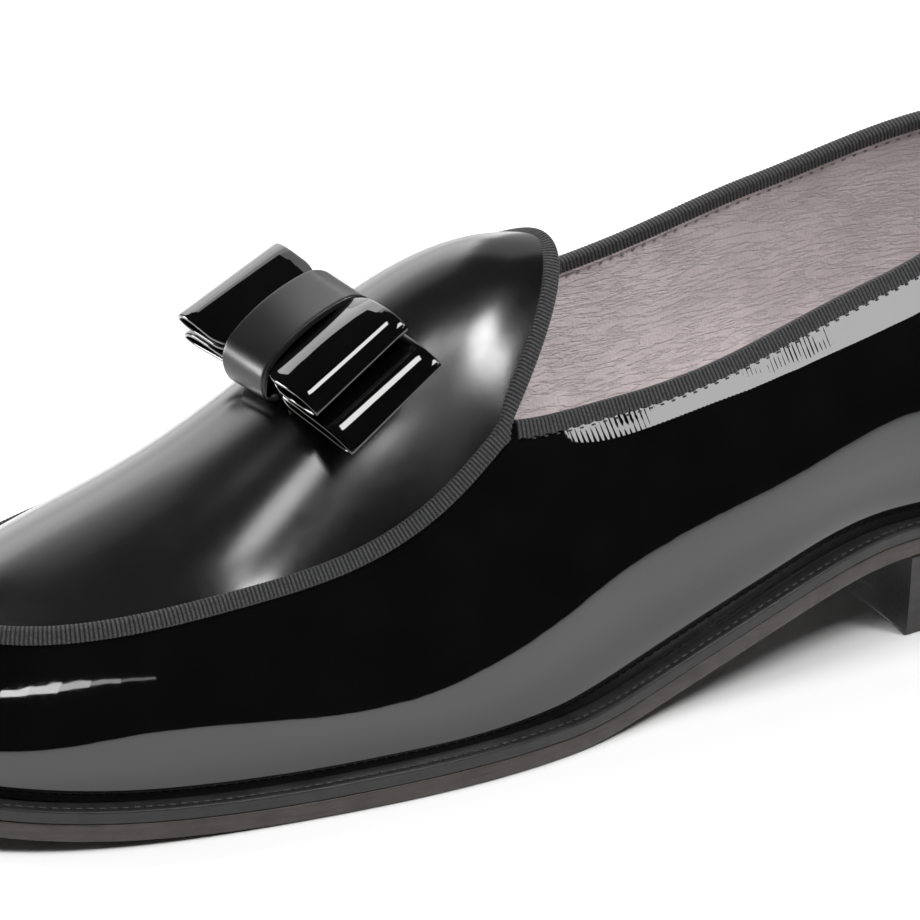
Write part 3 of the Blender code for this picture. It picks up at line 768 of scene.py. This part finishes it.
def wall_grid(rows, seam_steps, rear_steps):
    """Places round the wall, heights over the welt, and the wall's points.

    The places run throat, toe, throat, heel, with the throats and the toe tip exact.
    """
    lat = np.linspace(U_LAT, U_TIP, seam_steps + 1)
    med = np.linspace(U_TIP, U_MED, seam_steps + 1)[1:]
    rear = np.linspace(U_MED, U_END + U_LAT, rear_steps + 1)[1:-1]
    u = np.concatenate([lat, med, rear])
    height = mix(FOOT, edge_height(u), np.linspace(0, 1, rows + 1)[:, None])
    u = np.broadcast_to(u, height.shape)
    return u, height, wall(u, height)


def build_quarter(material):
    u, height, grid = wall_grid(*QUARTER_STEPS)
    grid = grid + grid_normals(grid, True) * lasting_waves(u, height)[..., None]
    inner = grid - SKIN_THICK * grid_normals(grid, True)
    below = edge_height(u) - height
    near_throat = mix(PUCKER_LEAST, 1, ease(grid[..., 1], *PUCKER_RISES))
    starts = smooth(behind_throat(u) / PUCKER_FADE)
    pucker = starts * near_throat * np.exp(-((below / PUCKER_REACH) ** 2))
    values = {"along": np.tile(u.ravel(), 2), "pucker": np.tile(pucker.ravel(), 2)}
    return add_shell("patent_quarter", grid, inner, True, material, values)


def build_apron(material):
    grid = apron_grid()
    inner = grid - SKIN_THICK * grid_normals(grid, False)
    add_shell("calf_apron", grid, inner, False, material)


LINING_GAP = 0.05


def build_lining(material):
    quarter = wall_grid(*LINING_STEPS)[2]
    for name, grid, wrap in (("quarter_lining", quarter, True), ("apron_lining", apron_grid(), False)):
        normals = grid_normals(grid, wrap)
        near = grid - (SKIN_THICK + LINING_GAP) * normals
        add_shell(name, near, grid - WALL_THICK * normals, wrap, material)


FOLD_RADIUS = 0.5
FOLD_SIDES = 10
FOLD_BELOW = 0.3
FOLD_STEPS = 500
FOLD_TRIM = 4


def build_lining_fold(material):
    """The lining's folded edge: a thin bead inside the collar, just below its tape."""
    u = np.linspace(U_MED, U_END + U_LAT, FOLD_STEPS)[FOLD_TRIM:-FOLD_TRIM]
    height = edge_height(u) - TAPE_INSIDE - FOLD_BELOW
    normals = wall_frame(u, height)[0]
    points = wall(u, height) - normals * WALL_THICK
    along = unit(np.gradient(points, axis=0))
    normals = square_to(normals, along)
    sides = np.cross(along, normals)
    turn = np.linspace(0, 2 * np.pi, FOLD_SIDES + 1)[:-1, None]
    across = np.cos(turn) * normals[:, None] + np.sin(turn) * sides[:, None]
    add_tube("lining_fold", points[:, None] + FOLD_RADIUS * across, False, material)


# Ribbed tapes


def profile_normals(profile):
    """Outward normals of a line of (side, height) points, on its left."""
    step = np.gradient(profile, axis=-2)
    return unit(np.stack([-step[..., 1], step[..., 0]], axis=-1))


def add_tape(name, points, sides, normals, profile, hidden, closed, material, node):
    """A tape along a line: its profile, pushed out on each cord, then its hidden inner line."""
    bulge = np.abs(np.sin(np.pi * np.arange(len(points)) / RIB_SAMPLES))
    shown = profile + profile_normals(profile) * (RIB_HEIGHT * bulge)[:, None, None]
    whole = np.concatenate([shown, hidden], axis=1)
    rings = points[:, None] + whole[..., :1] * sides[:, None] + whole[..., 1:] * normals[:, None]
    # How far each shown point is pushed out on its cord, kept for the material to paint shade in the
    # grooves and light on the cords.
    rib_shading = np.zeros(whole.shape[:2])
    rib_shading[:, : shown.shape[1]] = bulge[:, None]
    add_tube(name, rings, closed, material, [node], {"rib_shading": rib_shading})


# Topline tape's side, from its lower edge up: (part of its depth, height over the leather).
TOPLINE_EDGE = ((-0.99, -0.05), (-1.0, 0.28), (-0.96, 0.48), (-0.83, 0.58))
TOPLINE_SIDE = (*TOPLINE_EDGE, (-0.6, 0.6), (-0.4, 0.6), (-0.2, 0.6))
TOPLINE_ROLL = 0.7
TOPLINE_HIDDEN = ((-0.2, -1.9), (-0.2, -0.1))
ROLL_STEPS = 11
SCALLOP = 0.35
TOPLINE_TRIM = 2.2


def topline_places(step):
    """Places along the topline at even steps, from the inner throat round the heel to the outer."""
    dense = np.linspace(U_MED, U_END + U_LAT, DENSE)
    length = lengths_along(wall(dense, edge_height(dense)))
    kept = (length > TOPLINE_TRIM) & (length < length[-1] - TOPLINE_TRIM)
    dense = dense[kept]
    return even_steps(dense, wall(dense, edge_height(dense)), step)


def build_topline_tape(material):
    u = topline_places(RIB_PITCH / RIB_SAMPLES)
    height = edge_height(u)
    points = wall(u, height)
    along = unit(np.gradient(points, axis=0))
    up = square_to(wall_frame(u, height)[1], along)
    normals = np.cross(along, up)
    turn = np.linspace(0, np.pi, ROLL_STEPS)
    wide = WALL_THICK / 2 + TOPLINE_THICK
    roll = np.stack([TOPLINE_ROLL * np.sin(turn), -WALL_THICK / 2 + wide * np.cos(turn)], axis=1)
    side = np.array(TOPLINE_SIDE) * (TAPE_OUTSIDE, 1)
    inside = np.array(TOPLINE_SIDE)[::-1] * (TAPE_INSIDE, -1) - (0, WALL_THICK)
    profile = np.repeat(np.concatenate([side, roll, inside])[None], len(u), axis=0)
    scallop = SCALLOP * np.abs(np.sin(np.pi * lengths_along(points) / STITCH_PITCH))
    profile[:, : len(TOPLINE_EDGE), 0] -= scallop[:, None] - SCALLOP / 2
    hidden = np.repeat(np.array(TOPLINE_HIDDEN)[None], len(u), axis=0)
    lines = (points, up, normals, profile, hidden)
    add_tape("topline_tape", *lines, False, material, "topline_binding")


# Plug tape's section: (part of its width, height over the leather) on the apron, then past the edge.
OVER_APRON = ((1.0, -0.05), (1.0, 0.35), (0.94, 0.60), (0.79, 0.76), (0.5, 0.80), (0.21, 0.80))
PAST_EDGE = (0.3, 0.9, 1.5)
TURN_UNDER_AT = (1.65, 1.75, 1.85, 1.95)
UNDER_END = ((0.15, 0.80), (0.45, 0.76), (0.75, 0.62), (0.96, 0.35), (1.0, -0.05))
SHORT_END = 0.35
UNDER_TAB = 2.0
TAPE_HIDE = -0.12
EDGE_FAN = 6

# Steps to each side that the tape's normals and its direction are averaged over.
NORMAL_SPAN = 30
ALONG_SPAN = 10


def plug_profile(turn, wrap):
    """The plug tape's section, from its hidden end up, as (into the apron, along its normal).

    turn is the angle between apron and wall, and wrap is 1 where the tape also goes under the tab.
    """
    right = np.pi / 2
    flat = np.zeros_like(turn)
    under = right * wrap
    heading = np.pi + turn + under

    def past(distance):
        return -distance * np.cos(turn), -distance * np.sin(turn)

    def raised(x, z, angle, height=TAPE_THICK):
        return np.stack([x + height * np.cos(angle), z + height * np.sin(angle)], axis=1)

    over = mix(TAPE_OVER_SEAM, TAPE_OVER_TAB, wrap)
    shown = [raised(over * part, flat, right + flat, height) for part, height in OVER_APRON]
    shown += [raised(flat, flat, right + part * turn) for part in np.linspace(0, 1, EDGE_FAN)]
    shown += [raised(*past(distance), right + turn) for distance in PAST_EDGE]
    for part, distance in zip(np.linspace(0, 1, len(TURN_UNDER_AT)), TURN_UNDER_AT):
        shown.append(raised(*past(distance), right + turn + part * under))
    x, z = past(TURN_UNDER_AT[-1])
    for part, height in UNDER_END:
        reach = part * (SHORT_END + UNDER_TAB * wrap)
        end = (x + reach * np.cos(heading), z + reach * np.sin(heading))
        shown.append(raised(*end, heading - right, height))
    inner = [
        raised(flat, flat, right + turn / 2, TAPE_HIDE),
        raised(x, z, right + turn + under / 2, TAPE_HIDE),
    ]
    return np.stack(shown[::-1], axis=1), np.stack(inner, axis=1)


def plug_line():
    """The closed line under the plug's tape: point, apron's normal, way past the edge, and wrap."""
    normals = grid_normals(apron_grid(), False)
    sides = []
    edges = zip(apron_sides()[:2], (normals[:, 1], normals[:, -2]), seam_places())
    for points, edge_normals, u in edges:
        past = -edge_normals
        past[: APRON_SEAM + 1] = -wall_frame(u, edge_height(u))[1]
        wrap = np.zeros((len(points), 1))
        wrap[APRON_SEAM + 1 :] = 1
        sides.append(np.concatenate([points, edge_normals, past, wrap], axis=1))
    return np.concatenate([sides[0][::-1], sides[1][1:]])


def build_plug_tape(material):
    line = plug_line()
    line = even_steps(line, line[:, :3], RIB_PITCH / RIB_SAMPLES)[:-1]
    points = line[:, :3]
    rest = averaged(line[:, 3:], NORMAL_SPAN)
    ahead = np.roll(points, -1, axis=0) - np.roll(points, 1, axis=0)
    along = unit(averaged(ahead, ALONG_SPAN))
    normals = square_to(rest[:, :3], along)
    inward = np.cross(normals, along)
    past = square_to(rest[:, 3:6], along)
    turn = np.arctan2(-np.sum(past * normals, axis=1), -np.sum(past * inward, axis=1))
    shown, hidden = plug_profile(turn, rest[:, 6])
    lines = (points, inward, normals, shown, hidden)
    add_tape("plug_tape", *lines, True, material, "plug_binding")


# Bow


def on_bow(x, along, height):
    """A point of the bow: across the foot, down the slope of the ridge, and up from it."""
    slope = np.radians(BOW_SLOPE)
    base = ridge_height(np.array(BOW_STATION))
    s = BOW_STATION + along * np.cos(slope) + height * np.sin(slope)
    z = base - along * np.sin(slope) + height * np.cos(slope)
    return np.stack(np.broadcast_arrays(x, s, z), axis=-1)


def loop_values(name):
    return dict(zip(LOOP_COLUMNS, LOOPS[name]))


def to_end(loop, x):
    """Distance across the foot from the loop's nearer end."""
    return loop["half"] - np.abs(x - loop["middle"])


def beside_band(x):
    """Distance across the foot from the band's nearer rim, negative under the band."""
    return np.abs(x - BAND_MIDDLE) - (BAND_TO - BAND_FROM) / 2


def loop_height(loop, x):
    q = (x - loop["middle"]) / loop["half"]
    sunk = loop["droop"] * (1 - np.clip(to_end(loop, x) / DROOP_SPAN, 0, 1)) ** 2
    return loop["height"] + loop["tilt"] * q + loop["bend"] * q**2 - sunk


def loop_half(loop, x):
    """Half the loop's thickness: pinched under the band, full beside it, round at the folds."""
    span = np.where(x < BAND_FROM, PINCH_SPAN[0], PINCH_SPAN[1])
    full = mix(loop["half_mid"], loop["half_full"], smooth(beside_band(x) / span + PINCH_START))
    left = np.clip(to_end(loop, x) / LOOP_END, 0, 1)
    return full * np.sqrt(1 - (1 - left) ** 2)


def strip_half(x):
    """Half the loops' width down the slope: the band gathers them under itself."""
    return BOW_WIDTH / 2 - GATHER * (1 - ease(beside_band(x), *GATHER_SPAN))


def arch_rise(x, part):
    """How far the loops rise into the band's arch at its outer rim; part is of their half width."""
    under = ease(x, BAND_FROM, BAND_TO) - ease(x, BAND_TO, BAND_TO + ARCH_SPAN)
    return ARCH_RISE * under * (1 - part**2)


LOOP_STEPS = 90
STRIP_COLUMNS = 12
STRIP_EDGE = 7


def build_loop(name, piece, node, material):
    loop = loop_values(name)
    x = loop["middle"] + loop["half"] * np.cos(np.linspace(0, np.pi, LOOP_STEPS + 1))
    half = loop_half(loop, x)
    middle = loop_height(loop, x)
    upper = np.stack([x, middle + half], axis=1)
    lower = np.stack([x, middle - half], axis=1)[::-1]
    outer = np.concatenate([upper, lower[1:-1]])
    ahead = np.roll(outer, -1, axis=0) - np.roll(outer, 1, axis=0)
    thick = STRIP_THICK / 2 * unit(np.stack([ahead[:, 1], -ahead[:, 0]], axis=1))
    radius = STRIP_THICK / 2
    wide = strip_half(x)
    wide = np.concatenate([wide, wide[::-1][1:-1]])
    rows = [(part * (wide - radius), 1.0) for part in np.linspace(-1, 1, STRIP_COLUMNS)]
    for turn in np.linspace(0, np.pi, STRIP_EDGE)[1:-1]:
        rows.append((wide - radius + radius * np.sin(turn), np.cos(turn)))
    rows += [(-along, -side) for along, side in rows]
    lines = []
    for along, side in rows:
        across, height = (outer - thick + side * thick).T
        twist = TWIST * along * (across - BAND_MIDDLE)
        rise = arch_rise(across, along / wide)
        lines.append(on_bow(across, along, height - twist + rise))
    add_tube(piece, np.stack(lines, axis=1), True, material, [node])


BAND_COLUMNS = 26
BAND_EDGE = 0.6
RIM_STEPS = 7
RIM_THICK = 0.5
SHOULDER_STEPS = 12
FACE_STEPS = 10


def band_line(thick, top):
    """A strap's line, foot to foot, a thickness outside its inner face, as along and height."""
    half = BAND_HALF + thick
    curl = np.radians(np.linspace(-FOOT_TURN, 0, FACE_STEPS))
    small = FOOT_RADIUS + thick
    low = BAND_FOOT + BAND_THICK + FOOT_RADIUS
    arch = np.radians(BAND_ARCH)
    turn = np.linspace(0, np.pi / 2 - arch, SHOULDER_STEPS)
    large = SHOULDER + thick
    centre = top - SHOULDER * np.cos(arch)
    along = np.concatenate([half - small + small * np.cos(curl), half - large + large * np.cos(turn)])
    height = np.concatenate([low + small * np.sin(curl), centre + large * np.sin(turn)])
    radius = large + (BAND_HALF - SHOULDER) / np.sin(arch)
    bend = np.linspace(arch, -arch, FACE_STEPS)[1:-1]
    over = centre + radius * np.cos(bend) - (BAND_HALF - SHOULDER) / np.tan(arch)
    whole_along = np.concatenate([along, radius * np.sin(bend), -along[::-1]])
    return whole_along, np.concatenate([height, over, height[::-1]])


def build_strap(material):
    top = loop_values("upper")
    rings = []
    rim = BAND_EDGE * (1 - np.cos(np.linspace(0, np.pi / 2, RIM_STEPS)))
    middle = np.linspace(BAND_FROM + BAND_EDGE, BAND_TO - BAND_EDGE, BAND_COLUMNS)[1:-1]
    for x in np.concatenate([BAND_FROM + rim, middle, BAND_TO - rim[::-1]]):
        thin = np.clip(min(x - BAND_FROM, BAND_TO - x) / BAND_EDGE, 0, 1)
        out = BAND_THICK * mix(RIM_THICK, 1, np.sqrt(1 - (1 - thin) ** 2))
        crest = loop_height(top, x) + top["half_mid"] + GAP
        ring = []
        for thick in (out, 0):
            along, height = band_line(thick, crest)
            line = on_bow(np.full_like(along, x), along, height)
            ring.append(line if thick else line[::-1])
        rings.append(np.concatenate(ring))
    add_tube("bow_strap", np.stack(rings), False, material, ["bow_band"])


# Sole


SOLE_COLUMNS = 360

# Edges of the sole's pieces as (inset, height): heights over the piece's bottom or from its top.
WELT_LOWER = ((0.22, 0.0), (0.03, 0.2), (0.0, 0.5))
WELT_SIDE = ((0.0, -0.6),)
WELT_ROUND = 0.5
WELT_ROUND_STEPS = 7
WELT_GROOVE = ((1.1, 0.0), (1.4, -0.1), (1.7, -0.14), (2.0, -0.1), (2.3, 0.0))
SOLE_UPPER = ((1.5, 0.0), (0.3, 0.0), (0.08, -0.12), (0.0, -0.4))
SOLE_LOWER = ((0.0, 1.0), (0.08, 0.5), (0.3, 0.15), (0.8, 0.0), (1.5, 0.0))
SOCK_UPPER = ((6.0, 0.0), (1.0, 0.0), (0.4, -0.1), (0.1, -0.4))
SOCK_LOWER = ((0.0, 0.1), (0.3, 0.0))
SOCK_LIFT = 1.1
SOCK_GAP = 0.25
HEEL_LOWER = ((0.7, 0.0), (0.3, 0.12), (0.05, 0.5), (0.0, 1.0))
HEEL_UPPER = ((0.0, -0.45), (0.06, -0.12), (0.3, 0.0))
HEEL_PARTS = np.linspace(0.1, 0.9, 9)
HEEL_POWER = 1.3
HEEL_COLUMNS = 60


def edge_from(inset, height, rows):
    """An edge's rows of (inset, height), counted from a line."""
    return [(inset + more, height + up) for more, up in rows]


def ring_round(u, section):
    """Points round the shoe for a section of (inset, height over the sole line)."""
    rings = []
    for inset, height in section:
        flat = inset_outline(u, inset)
        z = sole_height(flat[:, 1]) + height
        rings.append(np.concatenate([flat, z[:, None]], axis=1))
    return np.stack(rings, axis=1)


def build_welt(material):
    u = np.linspace(0, U_END, SOLE_COLUMNS + 1)[:-1]
    flat = np.zeros_like(u)
    bottom = OUTSOLE_THICK + FINE_GAP
    turn = np.linspace(0, np.pi / 2, WELT_ROUND_STEPS)
    corner = WELT_ROUND * np.stack([1 - np.cos(turn), np.sin(turn) - 1], axis=1)
    section = edge_from(flat, bottom, WELT_LOWER)
    for rows in (WELT_SIDE, corner, WELT_GROOVE):
        section += edge_from(flat, WELT_TOP, rows)
    width = welt_width(outline(u)[:, 1])
    far = width + WELT_UNDER_WALL
    section += [(width, WELT_TOP), (far, WELT_TOP), (far, bottom)]
    add_tube("stitched_welt", ring_round(u, section), True, material, ["welt"])


def plate_places():
    """Places round the sole from the heel's back, with the toe tip exact."""
    half = SOLE_COLUMNS // 2
    lat = np.linspace(0, U_TIP, half + 1)
    med = np.linspace(U_TIP, U_END, half + 1)[1:-1]
    return np.concatenate([lat, med])


def add_plate(name, section, material, node):
    """A plate of the sole's shape: rings from its top rim down to its bottom rim."""
    rings = ring_round(plate_places(), section)
    points = np.swapaxes(rings, 0, 1).reshape(-1, 3)
    add_stack(name, points, len(rings), material, node)


def build_outsole(material):
    flat = np.zeros(len(plate_places()))
    section = edge_from(flat, OUTSOLE_THICK, SOLE_UPPER) + edge_from(flat, 0.0, SOLE_LOWER)
    add_plate("sole_plate", section, material, "outsole")


def build_sock(material):
    inset = welt_width(outline(plate_places())[:, 1]) + WALL_THICK + SOCK_GAP
    section = edge_from(inset, WELT_TOP + SOCK_LIFT, SOCK_UPPER)
    section += edge_from(inset, WELT_TOP + FINE_GAP, SOCK_LOWER)
    add_plate("sock", section, material, "insole")


def build_heel(material):
    u = np.linspace(0, U_END, DENSE)
    s = outline(u)[:, 1]
    lat_u = u[np.argmax(s > BREAST)]
    med_u = u[len(s) - 1 - np.argmax(s[::-1] > BREAST)]
    around = np.linspace(med_u - U_END, lat_u, HEEL_COLUMNS + 1)
    height = HEEL_HEIGHT - FINE_GAP
    levels = edge_from(HEEL_TAPER, 0.0, HEEL_LOWER)
    levels += [(HEEL_TAPER * (1 - part) ** HEEL_POWER, height * part) for part in HEEL_PARTS]
    levels += edge_from(0.0, height, HEEL_UPPER)
    rings = []
    for inset, z in levels:
        side = inset_outline(around, np.full(HEEL_COLUMNS + 1, inset))
        front = np.linspace(side[0], side[-1], HEEL_COLUMNS + 1)
        half = (side[-1, 0] - side[0, 0]) / 2
        mid = (side[-1, 0] + side[0, 0]) / 2
        front[:, 1] -= BREAST_HOLLOW * (1 - ((front[:, 0] - mid) / half) ** 2)
        loop = np.concatenate([side, front[-2:0:-1]])
        rings.append(np.concatenate([loop, np.full((len(loop), 1), z)], axis=1))
    add_stack("heel_block", np.concatenate(rings), len(rings[0]), material, "heel")


# Stitching


STITCH_SIDES = 8
STITCH_RINGS = 7

# A stitch has a length and a radius. A row at the topline has its distance below the edge and its
# height over the wall's outer face.
WELT_STITCH = (1.7, 0.28)
WELT_STITCH_PITCH = 2.3
WELT_STITCH_INSET = 1.7
WELT_STITCH_SUNK = 0.05
TOPLINE_STITCH = (0.9, 0.2)
TOPLINE_ROWS = (("topline_stitches", 2.95, 0.05), ("lining_stitches", 3.3, -WALL_THICK - 0.1))


def build_stitches(name, points, along, normals, size, material):
    """A row of short rounded stitches lying on a surface."""
    length, radius = size
    sides = np.cross(along, normals)
    turn = np.linspace(0, np.pi, STITCH_RINGS)[1:-1]
    around = np.linspace(0, 2 * np.pi, STITCH_SIDES + 1)[:-1]
    local = [(1.0, 0.0, 0.0)]
    for t in turn:
        wide = np.sqrt(np.sin(t))
        local += [(np.cos(t), wide * np.cos(a), wide * np.sin(a)) for a in around]
    local.append((-1.0, 0.0, 0.0))
    local = np.array(local) * (length / 2, radius, radius)
    count = len(local)
    last = count - 1 - STITCH_SIDES
    faces = [[1 + i for i in face] for face in tube_faces(len(turn), STITCH_SIDES, False)[:-2]]
    for i in range(STITCH_SIDES):
        j = (i + 1) % STITCH_SIDES
        faces += [[0, 1 + j, 1 + i], [count - 1, last + i, last + j]]
    every_point = (
        points[:, None]
        + local[None, :, :1] * along[:, None]
        + local[None, :, 1:2] * sides[:, None]
        + local[None, :, 2:] * normals[:, None]
    )
    every_face = [[i + k * count for i in face] for k in range(len(points)) for face in faces]
    add_piece(name, every_point.reshape(-1, 3), every_face, material)


def build_welt_stitches(material):
    dense = np.linspace(0, U_END, DENSE)
    flat = inset_outline(dense, np.full_like(dense, WELT_STITCH_INSET))
    line = np.concatenate([flat, sole_height(flat[:, 1:]) + WELT_TOP - WELT_STITCH_SUNK], axis=1)
    points = even_steps(line, line, WELT_STITCH_PITCH)[:-1]
    along = unit(np.roll(points, -1, axis=0) - np.roll(points, 1, axis=0))
    normals = square_to(np.broadcast_to([0.0, 0.0, 1.0], along.shape), along)
    build_stitches("welt_stitches", points, along, normals, WELT_STITCH, material)


def build_topline_stitches(materials):
    """Stitches under the tape's lower edge, outside, and on the lining, inside."""
    u = topline_places(STITCH_PITCH)[1:-1]
    for name, below, depth in TOPLINE_ROWS:
        height = edge_height(u) - below
        normals = wall_frame(u, height)[0]
        points = wall(u, height) + normals * depth
        along = unit(np.gradient(points, axis=0))
        normals = square_to(normals, along) * np.sign(depth)
        build_stitches(name, points, along, normals, TOPLINE_STITCH, materials[name])


# Stage, light and camera, in metres


FLOOR_HALF = 1.6
ROOM_LIGHT = 0.02


def build_stage():
    mesh = bpy.data.meshes.new("floor")
    corners = [(x * FLOOR_HALF, y * FLOOR_HALF, 0) for x, y in ((-1, -1), (1, -1), (1, 1), (-1, 1))]
    mesh.from_pydata(corners, [], [(0, 1, 2, 3)])
    pale = {"Base_Color": (0.9, 0.9, 0.9, 1), "Roughness": 0.9, "Specular_IOR_Level": 0.1}
    mesh.materials.append(new_material("pale_floor", **pale)[0])
    floor = add_object("floor", mesh)


def build_world():
    """A dark room whose walls look white where the picture shows past the floor."""
    world = bpy.data.worlds.new("studio")
    world.use_nodes = True
    tree = world.node_tree
    room = tree.nodes["Background"]
    room.inputs["Color"].default_value = (1, 1, 1, 1)
    room.inputs["Strength"].default_value = ROOM_LIGHT
    paper = add_node(tree, "ShaderNodeBackground", {"Color": (1, 1, 1, 1), "Strength": 1.0})
    seen = add_node(tree, "ShaderNodeLightPath").outputs["Is Camera Ray"]
    shown = {0: seen, 1: room.outputs["Background"], 2: paper.outputs["Background"]}
    mixed = add_node(tree, "ShaderNodeMixShader", shown)
    tree.links.new(mixed.outputs[0], tree.nodes["World Output"].inputs["Surface"])
    bpy.context.scene.world = world


# Places in the world that the lights are aimed at: the tab, the collar and the toe.
TAB = np.array([0.025, -0.03, 0.07])
COLLAR = np.array([0.03, 0.045, 0.066])
TOE = np.array([0.025, -0.117, 0.032])


def towards(azimuth, elevation):
    """A unit direction: azimuth 0 is the toe and 90 the outer side, in degrees."""
    a, e = np.radians([azimuth, elevation])
    return np.array([np.sin(a) * np.cos(e), -np.cos(a) * np.cos(e), np.sin(e)])


def add_softbox(name, target, facing, distance, size, luminance, along):
    """A flat light in a direction from its target, its width along a line."""
    light = bpy.data.lights.new(name, "AREA")
    light.shape = "RECTANGLE"
    light.size, light.size_y = size
    light.energy = luminance * size[0] * size[1] * np.pi
    box = add_object(name, light)
    wide = square_to(along, facing)
    turn = np.eye(4)
    turn[:3] = np.column_stack([wide, np.cross(facing, wide), facing, target + distance * facing])
    box.matrix_world = Matrix(turn.tolist())
    box.visible_camera = False
    return box


# Panels: name, target, azimuth, elevation, width and height in degrees as seen from the target, and
# brightness relative to white paper. The key also has its distance and how far it leans.
PANEL_DISTANCE = 1.6
KEY_PANELS = (
    ("key", TAB, 121.5, 52.0, 18.0, 14.0, 20.0, PANEL_DISTANCE, -20.0),
    ("key_shoulder", TAB, 107.0, 62.5, 8.0, 7.0, 9.0),
    ("high_key", TAB, 82.0, 63.5, 24.0, 14.0, 8.5),
    ("top", TAB, -15.0, 68.0, 24.0, 8.0, 9.0),
)

# These show only as reflections, and the last of them only on the quarter.
REFLECTED_PANELS = (
    ("low_key", TAB, 99.0, 38.5, 4.0, 4.0, 4.0),
    ("far_toe", TAB, -53.0, 4.0, 18.0, 10.0, 26.0),
    ("side", COLLAR, 121.5, 35.0, 16.0, 8.0, 5.2),
)

# These give light and no reflection.
WASH_DISTANCE = 2.4
WASH_PANELS = (
    ("wash", COLLAR, 95.0, 62.0, 50.0, 28.0, 5.0),
    ("sky", COLLAR, 0.0, 82.0, 120.0, 24.0, 6.3),
    ("back_wash", COLLAR, -100.0, 50.0, 60.0, 30.0, 4.5),
)

# Panels behind the shoe, aimed at the tab: the same without name and target.
BACK_PANELS = (
    (-106.0, 12.0, 42.0, 24.0, 1.4),
    (-103.0, 33.0, 42.0, 18.0, 2.1),
    (-103.0, 45.0, 42.0, 6.0, 2.3),
    (-104.0, 52.0, 46.0, 8.0, 1.4),
    (-104.0, 60.0, 44.0, 8.0, 0.9),
    (-104.0, 68.0, 48.0, 8.0, 0.45),
    (-140.0, 28.0, 40.0, 56.0, 0.5),
)
BACK_DISTANCE = 2.8

# Low bars: a thin bent strip light past the toe, as (azimuth, elevation) of its corners, and the
# height and brightness of each part between two corners.
LOW_BARS = ((37.0, 24.3), (48.0, 22.6), (59.0, 19.5), (70.0, 16.3), (80.0, 14.0), (90.0, 12.5))
LOW_PARTS = ((0.036, 8.0), (0.032, 7.0), (0.024, 5.0), (0.016, 3.0), (0.01, 1.6))
LOW_DISTANCE = 1.5


def add_panel(
    name, target, azimuth, elevation, width, height, luminance, distance=PANEL_DISTANCE, lean=0.0
):
    """A softbox whose width, height and lean are angles as seen from its target, in degrees."""
    wide = 2 * distance * np.tan(np.radians(width / 2)) * np.cos(np.radians(elevation))
    high = 2 * distance * np.tan(np.radians(height / 2))
    facing = towards(azimuth, elevation)
    level = unit(np.cross((0.0, 0.0, 1.0), facing))
    lean = np.radians(lean)
    along = np.cos(lean) * level + np.sin(lean) * np.cross(facing, level)
    return add_softbox(name, target, facing, distance, (wide, high), luminance, along)


def build_lights():
    """Builds every light and gives back the one that is for the quarter alone."""
    for panel in KEY_PANELS:
        add_panel(*panel)
    reflected = [add_panel(*panel) for panel in REFLECTED_PANELS]
    for_quarter = reflected[-1]
    for i, panel in enumerate(BACK_PANELS):
        add_panel(f"back_{i}", TAB, *panel, BACK_DISTANCE)
    corners = [towards(*corner) for corner in LOW_BARS]
    for i, (first, last, (height, luminance)) in enumerate(zip(corners, corners[1:], LOW_PARTS)):
        bar = LOW_DISTANCE * (last - first)
        size = (np.linalg.norm(bar), height)
        facing = unit(first + last)
        reflected.append(add_softbox(f"low_{i}", TOE, facing, LOW_DISTANCE, size, luminance, bar))
    for light in reflected:
        light.visible_diffuse = False
    for panel in WASH_PANELS:
        add_panel(*panel, WASH_DISTANCE).visible_glossy = False
    return for_quarter


CAMERA_PLACE = (1.00555, -0.66281, 0.52803)
CAMERA_TURN = (68.1, 0.0, 57.0)
LENS = 250.12
SENSOR_WIDTH = 36.0


def build_camera():
    data = bpy.data.cameras.new("camera")
    data.lens = LENS
    data.sensor_width = SENSOR_WIDTH
    camera = add_object("camera", data)
    camera.location = CAMERA_PLACE
    camera.rotation_euler = [np.radians(a) for a in CAMERA_TURN]
    bpy.context.scene.camera = camera


def build_shoe():
    """Builds every piece and gives back the quarter."""
    patent = patent_leather()
    tape = ribbed_tape()
    lining = lining_leather()
    welt = edge_leather("welt_leather", (0.012, 0.012, 0.012), (0.024, 0.023, 0.023), 0.35, 0.5, 0.05)
    sole = edge_leather("sole_leather", (0.034, 0.029, 0.027), (0.062, 0.054, 0.050), 0.4, 0.6, 0.15)
    heel = edge_leather("heel_leather", (0.018, 0.016, 0.016), (0.030, 0.027, 0.027), 0.4, 0.55, 0.15)
    black_thread = thread("black_thread", (0.01, 0.01, 0.01), (0.04, 0.04, 0.04))
    grey_thread = thread("grey_thread", (0.018, 0.017, 0.016), (0.05, 0.048, 0.046))
    mauve_thread = thread("mauve_thread", (0.14, 0.12, 0.125), (0.3, 0.27, 0.275))
    quarter = build_quarter(patent)
    build_apron(smooth_calf())
    build_lining(lining)
    build_lining_fold(lining)
    build_topline_tape(tape)
    build_plug_tape(tape)
    build_loop("lower", "lower_bow", "bow_lower_loop", patent)
    build_loop("upper", "upper_bow", "bow_upper_loop", patent)
    build_strap(satin_calf())
    build_welt(welt)
    build_outsole(sole)
    build_heel(heel)
    build_sock(lining)
    build_welt_stitches(grey_thread)
    build_topline_stitches({"topline_stitches": black_thread, "lining_stitches": mauve_thread})
    return quarter


def light_only(light, piece):
    """Let a light reach one piece and nothing else."""
    reached = bpy.data.collections.new(light.name + "_reaches")
    reached.objects.link(piece)
    light.light_linking.receiver_collection = reached


build_camera()
build_stage()
build_world()
light_only(build_lights(), build_shoe())
bpy.context.scene.view_settings.view_transform = "Standard"
